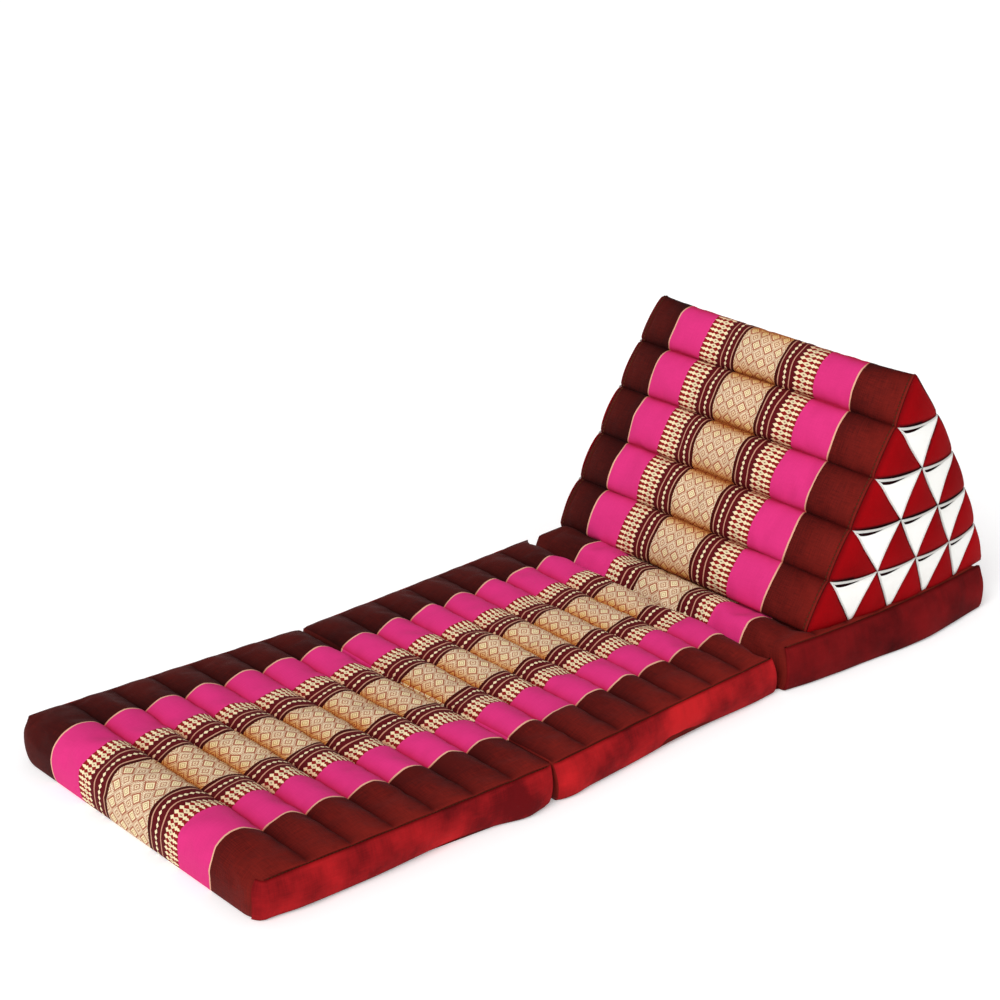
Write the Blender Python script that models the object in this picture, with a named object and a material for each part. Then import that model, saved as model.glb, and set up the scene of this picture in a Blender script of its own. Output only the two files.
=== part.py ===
"""A Thai triangle cushion: a three-section fold-out mat of sewn, filled rolls with a
triangular backrest on its head section. Metres, +Z up. X runs from the foot to the head,
Y from the near long side to the far one, and the origin is on the floor under the middle."""

import math
from collections import namedtuple

import bmesh
import bpy

# The mat
MAT_WIDTH = 0.530
SEAM_HEIGHT = 0.055  # top seam of the side bands
VALLEY_HEIGHT = 0.057  # sewn lines between the rolls
ROLLS = 7  # per section
ROLL_STEPS = 4
SIDE_BULGE = 0.004
END_BULGE = 0.011  # the rounded end of the foot and the head section
FOLD_BULGE = 0.002  # the ends that face each other at a fold
FLOOR_INSET = 0.007  # the underside's outline, drawn in from the sides
FLOOR_ROUND = 0.12  # share of the height that this rounding takes
SIDE_HEIGHTS = (0.4, 0.7)  # shares of the height at which the bulging sides are shaped
BAND_THICKNESS = 0.0015
BAND_MARGIN = 0.003  # share of a section's length that a band stops short at each end
HINGE_THICKNESS = 0.002
HINGE_CLEARANCE = 0.001

# The backrest
WEDGE_FRONT = 0.990
WEDGE_BACK = 1.412
WEDGE_BACK_BOW = 0.011  # how far the back edge bows out between apex and base
WEDGE_APEX = 1.204
WEDGE_TOP = 0.414
WEDGE_NEAR = -0.243
WEDGE_FAR = 0.274
WEDGE_ROWS = 5
WEDGE_RISE = 0.021
EDGE_RISE = 0.004  # what is left of a roll's rise at the seam of the end
END_CROWN = 0.013  # how far each end swells at its middle
APEX_PULL = 0.006  # how far the apex is drawn in from each end
PANEL_THICKNESS = 0.0015
RED_PUFF = 0.003
POCKET_THICKNESS = 0.0015
POCKET_PUFF = 0.0015
POCKET_MARGIN = 0.0012
LIP_HEIGHT = 0.004
LIP_THICKNESS = 0.0025

GAP = 0.0004  # between touching pieces
TAPER = 0.10  # share of the half width over which the rolls fall to the side seams

Section = namedtuple(
    "Section",
    "name start end sway_start sway_end skew_start skew_end lean_start lean_end"
    " belly first_rise rise",
)
# Sway is the sideways drift of the middle line, and skew the lead of the near side.
# A lean draws an end in: below zero at the floor, above zero at the top. The belly is how
# far the long sides spread half way along, under the weight of the backrest.
SECTIONS = (
    Section("foot", 0.000, 0.437, 0.000, -0.019, 0.012, 0.010, 0.000, -0.008, 0.002, 0.020, 0.020),
    Section("middle", 0.444, 0.906, -0.019, 0.002, 0.010, -0.003, -0.014, 0.006, 0.002, 0.020, 0.020),
    Section("head", 0.920, 1.392, 0.002, 0.000, 0.000, 0.000, 0.008, 0.000, 0.012, 0.013, 0.005),
)
SIDES = (("near", -1), ("far", 1))

Finish = namedtuple("Finish", "colour roughness")
MAROON = Finish((0.105, 0.010, 0.009), 0.85)
BAND_RED = Finish((0.300, 0.012, 0.013), 0.80)
PINK = Finish((0.760, 0.030, 0.230), 0.70)
PANEL_RED = Finish((0.270, 0.006, 0.012), 0.80)
WHITE = Finish((0.900, 0.880, 0.830), 0.80)


def clear_scene():
    for found in list(bpy.data.objects):
        bpy.data.objects.remove(found)


def mix(first, last, share):
    return first + (last - first) * share


def roll(phase):
    """Height of a roll, 0 at its sewn lines and 1 along its crown."""
    return math.sqrt(max(0.0, 1 - (2 * phase - 1) ** 2))


def taper(across):
    """Share of the full height of the rolls, from 0 at the side seams to 1."""
    inward = min(1.0, (1 - abs(across)) / TAPER)
    return math.sqrt(max(0.0, 1 - (1 - inward) ** 2))


def cut(mesh, axis, stations):
    """Cuts every face of the mesh across one axis at each station."""
    normal = [0.0, 0.0, 0.0]
    normal[axis] = 1.0
    for station in stations:
        point = [station * part for part in normal]
        geometry = mesh.verts[:] + mesh.edges[:] + mesh.faces[:]
        bmesh.ops.bisect_plane(mesh, geom=geometry, plane_co=point, plane_no=normal)


def add_object(name, mesh, finish):
    """Makes the closed mesh a named object with its own material."""
    bmesh.ops.recalc_face_normals(mesh, faces=mesh.faces)
    if mesh.calc_volume(signed=True) < 0:
        bmesh.ops.reverse_faces(mesh, faces=mesh.faces)
    data = bpy.data.meshes.new(name)
    mesh.to_mesh(data)
    mesh.free()
    made = bpy.data.objects.new(name, data)
    bpy.context.scene.collection.objects.link(made)
    material = bpy.data.materials.new(name)
    material.use_nodes = True
    shader = material.node_tree.nodes["Principled BSDF"]
    shader.inputs["Base Color"].default_value = (*finish.colour, 1.0)
    shader.inputs["Roughness"].default_value = finish.roughness
    shader.inputs["Metallic"].default_value = 0.0
    data.materials.append(material)
    return made


def add_block(name, cuts, place, finish):
    """A unit block, cut at the stations given for each axis, whose corners place() moves."""
    mesh = bmesh.new()
    bmesh.ops.create_cube(mesh, size=1.0)
    bmesh.ops.translate(mesh, verts=mesh.verts, vec=(0.5, 0.5, 0.5))
    for axis, stations in enumerate(cuts):
        cut(mesh, axis, stations)
    for vert in mesh.verts:
        vert.co = place(*vert.co)
    return add_object(name, mesh, finish)


# The mat's sections

def half_width(height):
    """Half the width of a filled section at a share of its height."""
    rounding = max(0.0, 1 - height / FLOOR_ROUND)
    outside = MAT_WIDTH / 2 - BAND_THICKNESS - GAP - SIDE_BULGE
    return outside + SIDE_BULGE * math.sin(math.pi * height) - FLOOR_INSET * rounding


def section_x(section, along, across, height):
    """The place along the mat, with the section's skew, and the lean of its two ends."""
    start_lean = section.lean_start
    end_lean = section.lean_end
    start_in = start_lean * height if start_lean > 0 else -start_lean * (1 - height)
    end_in = end_lean * height if end_lean > 0 else -end_lean * (1 - height)
    place = mix(section.start + start_in, section.end - end_in, along)
    return place - mix(section.skew_start, section.skew_end, along) * across


def side_y(section, along, across, out):
    """The place across the mat of a point `out` from the middle line, with the section's
    sway and its belly, which runs straight from one sewn line to the next."""
    lines = along * ROLLS
    before = min(int(lines), ROLLS - 1)
    low, high = (math.sin(math.pi * line / ROLLS) for line in (before, before + 1))
    spread = section.belly * mix(low, high, lines - before) * across
    return out * across + spread + mix(section.sway_start, section.sway_end, along)


def top_height(section, along, across):
    number = min(int(along * ROLLS), ROLLS - 1)
    rise = section.first_rise if number == 0 else section.rise
    lift = VALLEY_HEIGHT - SEAM_HEIGHT + rise * roll(along * ROLLS - number)
    return SEAM_HEIGHT + lift * taper(across)


def add_section(section):
    bulges = {
        0.0: END_BULGE if section is SECTIONS[0] else FOLD_BULGE,
        1.0: END_BULGE if section is SECTIONS[-1] else FOLD_BULGE,
    }

    def place(along, side, height):
        across = 2 * side - 1
        swell = bulges.get(round(along, 6), 0.0) * math.sin(math.pi * height) * taper(across)
        x = section_x(section, along, across, height) + math.copysign(swell, along - 0.5)
        y = side_y(section, along, across, half_width(height))
        return x, y, height * top_height(section, along, across)

    count = ROLLS * ROLL_STEPS
    along_cuts = [step / count for step in range(1, count)]
    edge = [TAPER / 2 * share for share in (0.1, 0.4, 1.0)]
    side_cuts = edge + [0.5] + [1 - share for share in edge]
    height_cuts = (FLOOR_ROUND, *SIDE_HEIGHTS)
    add_block(f"mat_{section.name}", (along_cuts, side_cuts, height_cuts), place, MAROON)


def add_band(section, label, side):
    """The plain band sewn along one long side of a section, from seam to seam."""
    def place(along, depth, height):
        share = mix(FLOOR_ROUND, 1.0, height)
        inside = min(max(along, BAND_MARGIN), 1 - BAND_MARGIN)
        x = section_x(section, inside, side, share)
        out = half_width(share) + GAP + BAND_THICKNESS * depth
        return x, side_y(section, inside, side, out), share * SEAM_HEIGHT

    along_cuts = [line / ROLLS for line in range(1, ROLLS)]
    height_cuts = [(share - FLOOR_ROUND) / (1 - FLOOR_ROUND) for share in SIDE_HEIGHTS]
    add_block(f"band_{section.name}_{label}", (along_cuts, [], height_cuts), place, BAND_RED)


def add_hinge(name, before, after, low):
    """The strip of cloth that ties two sections together, inside the fold between them."""
    share = 0.5 * HINGE_THICKNESS / SEAM_HEIGHT if low else 1 - 0.5 * HINGE_THICKNESS / SEAM_HEIGHT
    bottom = 0.0 if low else SEAM_HEIGHT - HINGE_THICKNESS

    def place(along, side, height):
        across = (2 * side - 1) * (1 - TAPER)
        left = section_x(before, 1.0, across, share) + HINGE_CLEARANCE
        right = section_x(after, 0.0, across, share) - HINGE_CLEARANCE
        y = half_width(1.0) * across + before.sway_end
        return mix(left, right, along), y, bottom + HINGE_THICKNESS * height

    add_block(name, ([], [], []), place, MAROON)


# The backrest

def wedge_point(row, column):
    """X and Z of a point of the end's triangle: rows count down from the apex to the
    base, and columns from the front edge to the back edge."""
    down = row / WEDGE_ROWS
    front = mix(WEDGE_APEX, WEDGE_FRONT, down)
    back = mix(WEDGE_APEX, WEDGE_BACK, down)
    x = front if row < 1e-6 else mix(front, back, column / row)
    return x, mix(WEDGE_TOP, wedge_base(), down)


def wedge_base():
    return VALLEY_HEIGHT + SECTIONS[2].rise + GAP


def row_and_column(x, z):
    row = WEDGE_ROWS * (WEDGE_TOP - z) / (WEDGE_TOP - wedge_base())
    front = mix(WEDGE_APEX, WEDGE_FRONT, row / WEDGE_ROWS)
    across = (WEDGE_BACK - WEDGE_FRONT) / WEDGE_ROWS
    return row, (x - front) / across


def swelling(x, z):
    """How far an end stands out at a point, 0 round its edges."""
    row, column = row_and_column(x, z)
    shares = (column, row - column, WEDGE_ROWS - row)
    product = math.prod(max(0.0, share) * 3 / WEDGE_ROWS for share in shares)
    return END_CROWN * product ** 0.6


def pull(x, z):
    """How far each end is drawn in over the top row."""
    return APEX_PULL * max(0.0, 1 - row_and_column(x, z)[0])


def bow(x, z):
    """How far a point moves backwards, so that the back edge bows out."""
    row, column = row_and_column(x, z)
    share = column / row if row > 1e-6 else 0.0
    return WEDGE_BACK_BOW * math.sin(math.pi * row / WEDGE_ROWS) * share


def lattice():
    """The end's triangle in the plane Y = 0, in triangles of a quarter of a row."""
    mesh = bmesh.new()
    corners = ((0, 0), (WEDGE_ROWS, 0), (WEDGE_ROWS, WEDGE_ROWS))
    places = [wedge_point(row, column) for row, column in corners]
    mesh.faces.new([mesh.verts.new((x, 0.0, z)) for x, z in places])
    cuts = WEDGE_ROWS * ROLL_STEPS - 1
    bmesh.ops.subdivide_edges(mesh, edges=mesh.edges, cuts=cuts, use_grid_fill=True)
    return mesh


def thicken(mesh, depth):
    """Gives the flat sheet a second layer at Y = depth, and returns that layer's corners."""
    made = bmesh.ops.extrude_face_region(mesh, geom=mesh.faces[:], use_keep_orig=True)
    outer = [item for item in made["geom"] if isinstance(item, bmesh.types.BMVert)]
    bmesh.ops.translate(mesh, verts=outer, vec=(0.0, depth, 0.0))
    return outer


def face_normal(back):
    """The outward direction of the front or the back face, in X and Z."""
    run = WEDGE_BACK - WEDGE_APEX if back else WEDGE_FRONT - WEDGE_APEX
    drop = WEDGE_TOP - wedge_base()
    length = math.hypot(run, drop)
    return math.copysign(drop, run) / length, abs(run) / length


def slope_step(x, z, rise):
    """The step in X and Z that takes a point of a sloping face out to its roll."""
    row, column = row_and_column(x, z)
    on_back = row - column < 1e-4 < column
    if column > 1e-4 and not on_back:
        return 0.0, 0.0
    right, up = face_normal(on_back)
    height = rise * roll(row % 1.0)
    return right * height, up * height


def add_wedge():
    mesh = lattice()
    half = (WEDGE_FAR - WEDGE_NEAR) / 2
    thicken(mesh, 2 * half)
    edge = [TAPER * half * share for share in (0.1, 0.4, 1.0)]
    cut(mesh, 1, edge + [half] + [2 * half - inward for inward in edge])
    for vert in mesh.verts:
        x, y, z = vert.co
        across = y / half - 1
        on_end = abs(across) > 1 - 1e-6
        out = swelling(x, z) * round(across) if on_end else 0.0
        right, up = slope_step(x, z, mix(EDGE_RISE, WEDGE_RISE, taper(across)))
        y = WEDGE_NEAR + half + across * (half - pull(x, z)) + out
        vert.co = (x + bow(x, z) + right, y, z + up)
    add_object("wedge", mesh, PINK)


def puff(x, z):
    """A small swelling inside each cell of the end: (share, whether the cell is upright)."""
    row, column = row_and_column(x, z)
    down = row % 1.0
    over = column % 1.0
    upright = over <= down
    shares = (over, down - over, 1 - down) if upright else (over - down, 1 - over, down)
    return math.prod(3 * max(0.0, share) for share in shares), upright


def add_end_sheet(name, side, planes, start, thickness, swell, finish):
    """A sheet on one end of the backrest, `start` away from the filled solid, trimmed by
    planes of (x, z, outward x, outward z), and swollen by swell(x, z) on its outer face."""
    mesh = lattice()
    for x, z, right, up in planes:
        geometry = mesh.verts[:] + mesh.edges[:] + mesh.faces[:]
        bmesh.ops.bisect_plane(
            mesh, geom=geometry, plane_co=(x, 0.0, z), plane_no=(right, 0.0, up), clear_outer=True
        )
    outer = set(thicken(mesh, thickness))
    edge = WEDGE_FAR if side > 0 else WEDGE_NEAR
    for vert in mesh.verts:
        x, depth, z = vert.co
        more = swell(x, z) if vert in outer else 0.0
        y = edge + side * (swelling(x, z) - pull(x, z) + start + depth + more)
        right, up = slope_step(x, z, EDGE_RISE)
        vert.co = (x + bow(x, z) + right, y, z + up)
    add_object(name, mesh, finish)


def add_end_panel(label, side):
    """The red end, pieced from triangles: the upright ones are padded a little."""
    def swell(x, z):
        share, upright = puff(x, z)
        return RED_PUFF * share if upright else 0.0

    add_end_sheet(f"end_{label}", side, [], GAP, PANEL_THICKNESS, swell, PANEL_RED)


def pocket_planes(row, column):
    """The three sides of the inverted triangle under a row's seam, each drawn in."""
    left, top = wedge_point(row, column - 1)
    right, _ = wedge_point(row, column)
    tip, bottom = wedge_point(row + 1, column)
    drop = top - bottom
    left_side = (-drop, left - tip)
    right_side = (drop, tip - right)
    planes = [(left, top - LIP_HEIGHT - GAP, 0.0, 1.0)]
    for x, (out, up) in ((left, left_side), (right, right_side)):
        length = math.hypot(out, up)
        inward = POCKET_MARGIN / length
        planes.append((x - out * inward, top - up * inward, out / length, up / length))
    return planes


def add_pockets(label, side):
    """The white inverted triangles that fill the rows between the red ones."""
    number = 0
    for row in range(1, WEDGE_ROWS):
        for column in range(1, row + 1):
            number += 1
            add_end_sheet(
                f"pocket_{label}_{number}", side, pocket_planes(row, column),
                PANEL_THICKNESS + 2 * GAP, POCKET_THICKNESS,
                lambda x, z: POCKET_PUFF * puff(x, z)[0], WHITE,
            )


def add_lips(label, side):
    """The white turned edge that runs along the top of each row of inverted triangles."""
    for row in range(1, WEDGE_ROWS):
        front, level = wedge_point(row, 0)
        back, _ = wedge_point(row, row)
        planes = [
            (front, level, 0.0, 1.0),
            (front, level - LIP_HEIGHT, 0.0, -1.0),
            (front + LIP_HEIGHT, level, -1.0, 0.0),
            (back - LIP_HEIGHT, level, 1.0, 0.0),
        ]
        add_end_sheet(
            f"lip_{label}_{row}", side, planes,
            PANEL_THICKNESS + 2 * GAP, LIP_THICKNESS, lambda x, z: 0.0, WHITE,
        )


def centre_on_floor():
    """Moves every mesh so that the origin is under the middle of the object's box."""
    meshes = [made.data for made in bpy.context.scene.objects]
    corners = [vert.co for mesh in meshes for vert in mesh.vertices]
    low = [min(corner[axis] for corner in corners) for axis in range(3)]
    high = [max(corner[axis] for corner in corners) for axis in range(3)]
    middle = ((low[0] + high[0]) / 2, (low[1] + high[1]) / 2, low[2])
    for mesh in meshes:
        for vert in mesh.vertices:
            vert.co = [place - shift for place, shift in zip(vert.co, middle)]


def main():
    clear_scene()
    for section in SECTIONS:
        add_section(section)
        for label, side in SIDES:
            add_band(section, label, side)
    foot, middle, head = SECTIONS
    add_hinge("hinge_foot_middle", foot, middle, low=False)
    add_hinge("hinge_middle_head", middle, head, low=True)
    add_wedge()
    for label, side in SIDES:
        add_end_panel(label, side)
        add_pockets(label, side)
        add_lips(label, side)
    centre_on_floor()


main()
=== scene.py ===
"""A Thai triangle cushion with its fold-out mat: striped cotton sewn into filled rolls, plain
bands along the sides, and a triangular backrest whose ends are pieced from red and white
triangles. Metres, +Z up, X from the foot of the mat to its head."""

import logging
import math
from collections.abc import Callable
from dataclasses import dataclass, field
from enum import Enum

import bmesh
import bpy
from mathutils import Matrix, Vector, noise

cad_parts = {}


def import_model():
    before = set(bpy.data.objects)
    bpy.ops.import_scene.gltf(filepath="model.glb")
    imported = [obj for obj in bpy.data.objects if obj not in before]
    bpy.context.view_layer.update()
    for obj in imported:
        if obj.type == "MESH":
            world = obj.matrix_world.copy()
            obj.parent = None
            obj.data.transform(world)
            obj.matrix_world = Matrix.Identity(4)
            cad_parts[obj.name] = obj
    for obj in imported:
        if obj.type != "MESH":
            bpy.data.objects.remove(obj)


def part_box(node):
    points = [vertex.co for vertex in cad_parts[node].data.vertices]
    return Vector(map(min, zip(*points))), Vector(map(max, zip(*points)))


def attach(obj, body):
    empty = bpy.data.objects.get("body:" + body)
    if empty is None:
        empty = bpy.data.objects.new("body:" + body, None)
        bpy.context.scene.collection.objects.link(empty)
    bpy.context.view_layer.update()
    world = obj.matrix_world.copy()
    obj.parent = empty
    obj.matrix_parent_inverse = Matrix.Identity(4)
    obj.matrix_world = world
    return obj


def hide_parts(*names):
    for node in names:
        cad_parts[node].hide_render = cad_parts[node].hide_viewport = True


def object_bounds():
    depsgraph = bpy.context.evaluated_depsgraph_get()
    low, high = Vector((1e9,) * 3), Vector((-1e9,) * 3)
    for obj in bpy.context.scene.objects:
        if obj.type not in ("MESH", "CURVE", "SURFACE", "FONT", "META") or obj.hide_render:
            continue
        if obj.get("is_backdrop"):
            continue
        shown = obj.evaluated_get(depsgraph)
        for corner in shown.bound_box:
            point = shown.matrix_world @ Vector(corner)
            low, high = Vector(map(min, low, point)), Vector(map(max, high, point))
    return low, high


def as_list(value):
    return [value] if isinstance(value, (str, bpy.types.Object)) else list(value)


LOG = logging.getLogger("cushion")
UV_NAME = "cloth"
VALLEY_NAME = "valley"
HELD_NAME = "held"
BODY = "root"
TINY = 1e-6

Colour = tuple[float, float, float]
Point = tuple[float, float, float]
Mark = tuple[float, ...]
Place = Callable[[int, int], Point]


class Slot(Enum):
    """The record's material slots."""

    ROLL = "roll_cloth"
    BAND = "band_cloth"
    END = "end_cloth"
    WHITE = "white_cloth"


class Side(Enum):
    """The two long sides: near is towards -Y."""

    NEAR = -1
    FAR = 1

    @property
    def label(self) -> str:
        """The side's name in node names."""
        return self.name.lower()

    @property
    def index(self) -> int:
        """0 for the near side and 1 for the far one, in pairs of sizes."""
        return (self.value + 1) // 2


def mix(first: float, last: float, share: float) -> float:
    """The value that lies `share` of the way from first to last."""
    return first + (last - first) * share


def ramp(value: float, low: float, high: float) -> float:
    """0 below low, 1 above high, and a smooth rise between them."""
    share = min(1.0, max(0.0, (value - low) / (high - low)))
    return share * share * (3 - 2 * share)


def wander(x: float, y: float, seed: float, size: float) -> float:
    """A smooth random number from about -1 to 1 that changes over `size` metres."""
    return noise.noise(Vector((x / size, y / size, seed)))


@dataclass(frozen=True)
class Unevenness:
    """One kind of lump, crease or pucker: how deep it is, and how far apart they lie."""

    depth: float
    size: float
    seed: float = 0.0

    def at(self, x: float, y: float, seed: float, side: int = 1) -> float:
        """Its height at a place of the cloth."""
        return self.depth * wander(x, y, seed + self.seed * side, self.size)


# Shader maths


class Wire:
    """A number that varies over a surface. Arithmetic on it adds Math nodes."""

    def __init__(self, board: "Board", socket: bpy.types.NodeSocket) -> None:
        """Args:
            board: The node tree that new nodes are added to.
            socket: The output that carries the number.
        """
        self.board = board
        self.socket = socket

    def maths(self, operation: str, *values: "Wire | float", clamp: bool = False) -> "Wire":
        """Adds a Math node.

        Args:
            operation: The Math node's operation.
            values: What goes into its sockets, in order.
            clamp: Whether the result is kept between 0 and 1.

        Returns:
            The node's result.
        """
        settings = {"operation": operation, "use_clamp": clamp}
        return self.board.node("ShaderNodeMath", settings, dict(enumerate(values)))

    def __add__(self, other: "Wire | float") -> "Wire":
        """Sum."""
        return self.maths("ADD", self, other)

    __radd__ = __add__

    def __mul__(self, other: "Wire | float") -> "Wire":
        """Product."""
        return self.maths("MULTIPLY", self, other)

    __rmul__ = __mul__

    def __sub__(self, other: "Wire | float") -> "Wire":
        """Difference."""
        return self.maths("SUBTRACT", self, other)

    def __rsub__(self, other: "Wire | float") -> "Wire":
        """Difference, the other way round."""
        return self.maths("SUBTRACT", other, self)

    def __truediv__(self, other: "Wire | float") -> "Wire":
        """Quotient."""
        return self.maths("DIVIDE", self, other)

    def __abs__(self) -> "Wire":
        """Distance from 0."""
        return self.maths("ABSOLUTE", self)

    def __lt__(self, other: "Wire | float") -> "Wire":
        """1 where this is below the other number, and 0 elsewhere."""
        return self.maths("LESS_THAN", self, other)

    def __gt__(self, other: "Wire | float") -> "Wire":
        """1 where this is above the other number, and 0 elsewhere."""
        return self.maths("GREATER_THAN", self, other)

    def repeat(self, pitch: float, offset: float = 0.0) -> "Wire":
        """Distance from the middle of the nearest repeat, in shares of the pitch."""
        return abs(self.maths("FRACT", self / pitch + offset) - 0.5)

    def wave(self, pitch: float) -> "Wire":
        """A sine of this number with the given pitch."""
        return self.maths("SINE", self * (2 * math.pi / pitch))

    def either(self, other: "Wire") -> "Wire":
        """The larger of two masks."""
        return self.maths("MAXIMUM", self, other)

    def limited(self) -> "Wire":
        """This number kept between 0 and 1."""
        return self.maths("ADD", self, 0.0, clamp=True)


def solid(colour: Colour) -> tuple[float, float, float, float]:
    """The colour with its alpha."""
    return (*colour, 1.0)


class Board:
    """A material's node tree, with its Principled BSDF."""

    def __init__(self, name: str) -> None:
        """Starts an empty material.

        Args:
            name: The material's name.
        """
        self.material = bpy.data.materials.new(name)
        self.material.use_nodes = True
        self.tree = self.material.node_tree
        self.shader = self.tree.nodes["Principled BSDF"]

    def node(self, kind: str, settings: dict, values: dict, output: int | str = 0) -> Wire:
        """Adds a node.

        Args:
            kind: The node's type.
            settings: Attributes that are set first.
            values: Numbers, colours or wires for its sockets.
            output: The socket that the returned wire carries.

        Returns:
            The wire of that output.
        """
        made = self.tree.nodes.new(kind)
        for key, value in settings.items():
            setattr(made, key, value)
        for key, value in values.items():
            self.feed(made.inputs[key], value)
        return Wire(self, made.outputs[output])

    def feed(self, socket: bpy.types.NodeSocket, value: "Wire | float | tuple") -> None:
        """Links a wire to a socket, or sets the socket's value."""
        if isinstance(value, Wire):
            self.tree.links.new(value.socket, socket)
        else:
            socket.default_value = value

    def cloth_places(self) -> tuple[Wire, Wire]:
        """Metres across and along the cloth, from its UV map."""
        uv = self.node("ShaderNodeUVMap", {"uv_map": UV_NAME}, {})
        split = self.node("ShaderNodeSeparateXYZ", {}, {0: uv})
        return split, Wire(self, split.socket.node.outputs[1])

    def object_place(self) -> Wire:
        """The place in the object's own coordinates."""
        return self.node("ShaderNodeTexCoord", {}, {}, "Object")

    def speckle(self, place: Wire, scale: float, detail: float = 2.0) -> Wire:
        """Noise from 0 to 1 with `scale` waves a metre."""
        values = {"Vector": place, "Scale": scale, "Detail": detail}
        return self.node("ShaderNodeTexNoise", {}, values)

    def streaks(self, across: Wire, along: Wire, wide: float, long: float) -> Wire:
        """Noise drawn out along the cloth: streaks of that width and length in metres."""
        place = self.node(
            "ShaderNodeCombineXYZ", {}, {0: across / wide, 1: along / long, 2: 0.0}
        )
        return self.node("ShaderNodeTexNoise", {}, {"Vector": place, "Scale": 1.0, "Detail": 2.0})

    def paint(self, base: Wire | tuple, colour: Wire | tuple, mask: Wire | float) -> Wire:
        """Lays a colour over another where the mask is 1."""
        settings = {"data_type": "RGBA"}
        return self.node("ShaderNodeMix", settings, {0: mask, 6: base, 7: colour}, 2)

    def tint(self, base: Wire, colour: Colour, mask: Wire | float) -> Wire:
        """Multiplies the base by a colour where the mask is 1."""
        settings = {"data_type": "RGBA", "blend_type": "MULTIPLY"}
        return self.node("ShaderNodeMix", settings, {0: mask, 6: base, 7: solid(colour)}, 2)

    def dress(self, colour: Wire, height: Wire, roughness: Wire, depth: float) -> None:
        """Links the finish to the shader.

        Args:
            colour: Base colour.
            height: Relief, 0 to 1.
            roughness: Roughness.
            depth: The relief's depth in metres.
        """
        self.feed(self.shader.inputs["Base Color"], colour)
        self.feed(self.shader.inputs["Roughness"], roughness)
        bump = self.node(
            "ShaderNodeBump", {}, {"Height": height, "Distance": depth, "Strength": 1.0}
        )
        self.feed(self.shader.inputs["Normal"], bump)

    def valley(self) -> Wire:
        """1 on a sewn line and less away from it, from the mesh; it sets where shade is painted."""
        return self.node("ShaderNodeAttribute", {"attribute_name": VALLEY_NAME}, {}, "Fac")

    def sheen(self, weight: float, colour: Colour) -> None:
        """Gives the cloth the soft light edge of brushed fibres, and little gloss."""
        self.shader.inputs["Sheen Weight"].default_value = weight
        self.shader.inputs["Sheen Roughness"].default_value = 0.4
        self.shader.inputs["Sheen Tint"].default_value = solid(colour)
        self.shader.inputs["Specular IOR Level"].default_value = 0.05


@dataclass(frozen=True)
class PlainCloth:
    """Plain woven cotton of one colour, with slubs, a weave, slow changes of dye, and painted shade
    along its valley marks.
    """

    name: str
    dark: Colour
    light: Colour
    sheen: float = 0.2
    roughness: float = 0.8
    thread: float = 0.0011
    slub: tuple[float, float] = (0.0016, 0.030)
    weft: tuple[float, float] = (0.0014, 0.022)
    streak: float = 0.55
    relief: float = 0.00025
    shade: Colour = (0.50, 0.25, 0.22)
    cloud: float = 9.0
    mottle: float = 1.7

    def material(self) -> bpy.types.Material:
        """Builds the material."""
        board = Board(self.name)
        across, along = board.cloth_places()
        place = board.object_place()
        slub = board.streaks(across, along, *self.slub)
        weft = board.streaks(along, across, *self.weft)
        cloudy = board.speckle(place, self.cloud, 4.0)
        mottle = (cloudy - 0.5) * self.mottle + 0.5
        share = ((slub + weft - 1.0) * (1.6 * self.streak) + mottle).limited()
        colour = board.paint(solid(self.dark), solid(self.light), share)
        # Painted shade: darker where the mesh's valley mark is high, by seams, folds and hollows.
        colour = board.tint(colour, self.shade, board.valley().limited())
        weave = across.wave(self.thread) * along.wave(self.thread)
        height = weave * 0.25 + (slub + weft) * 0.5 + cloudy * 0.8
        board.dress(colour, height, slub * 0.15 + (self.roughness - 0.07), self.relief)
        board.sheen(self.sheen, tuple(min(1.0, 2.2 * part) for part in self.light))
        return board.material


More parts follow.
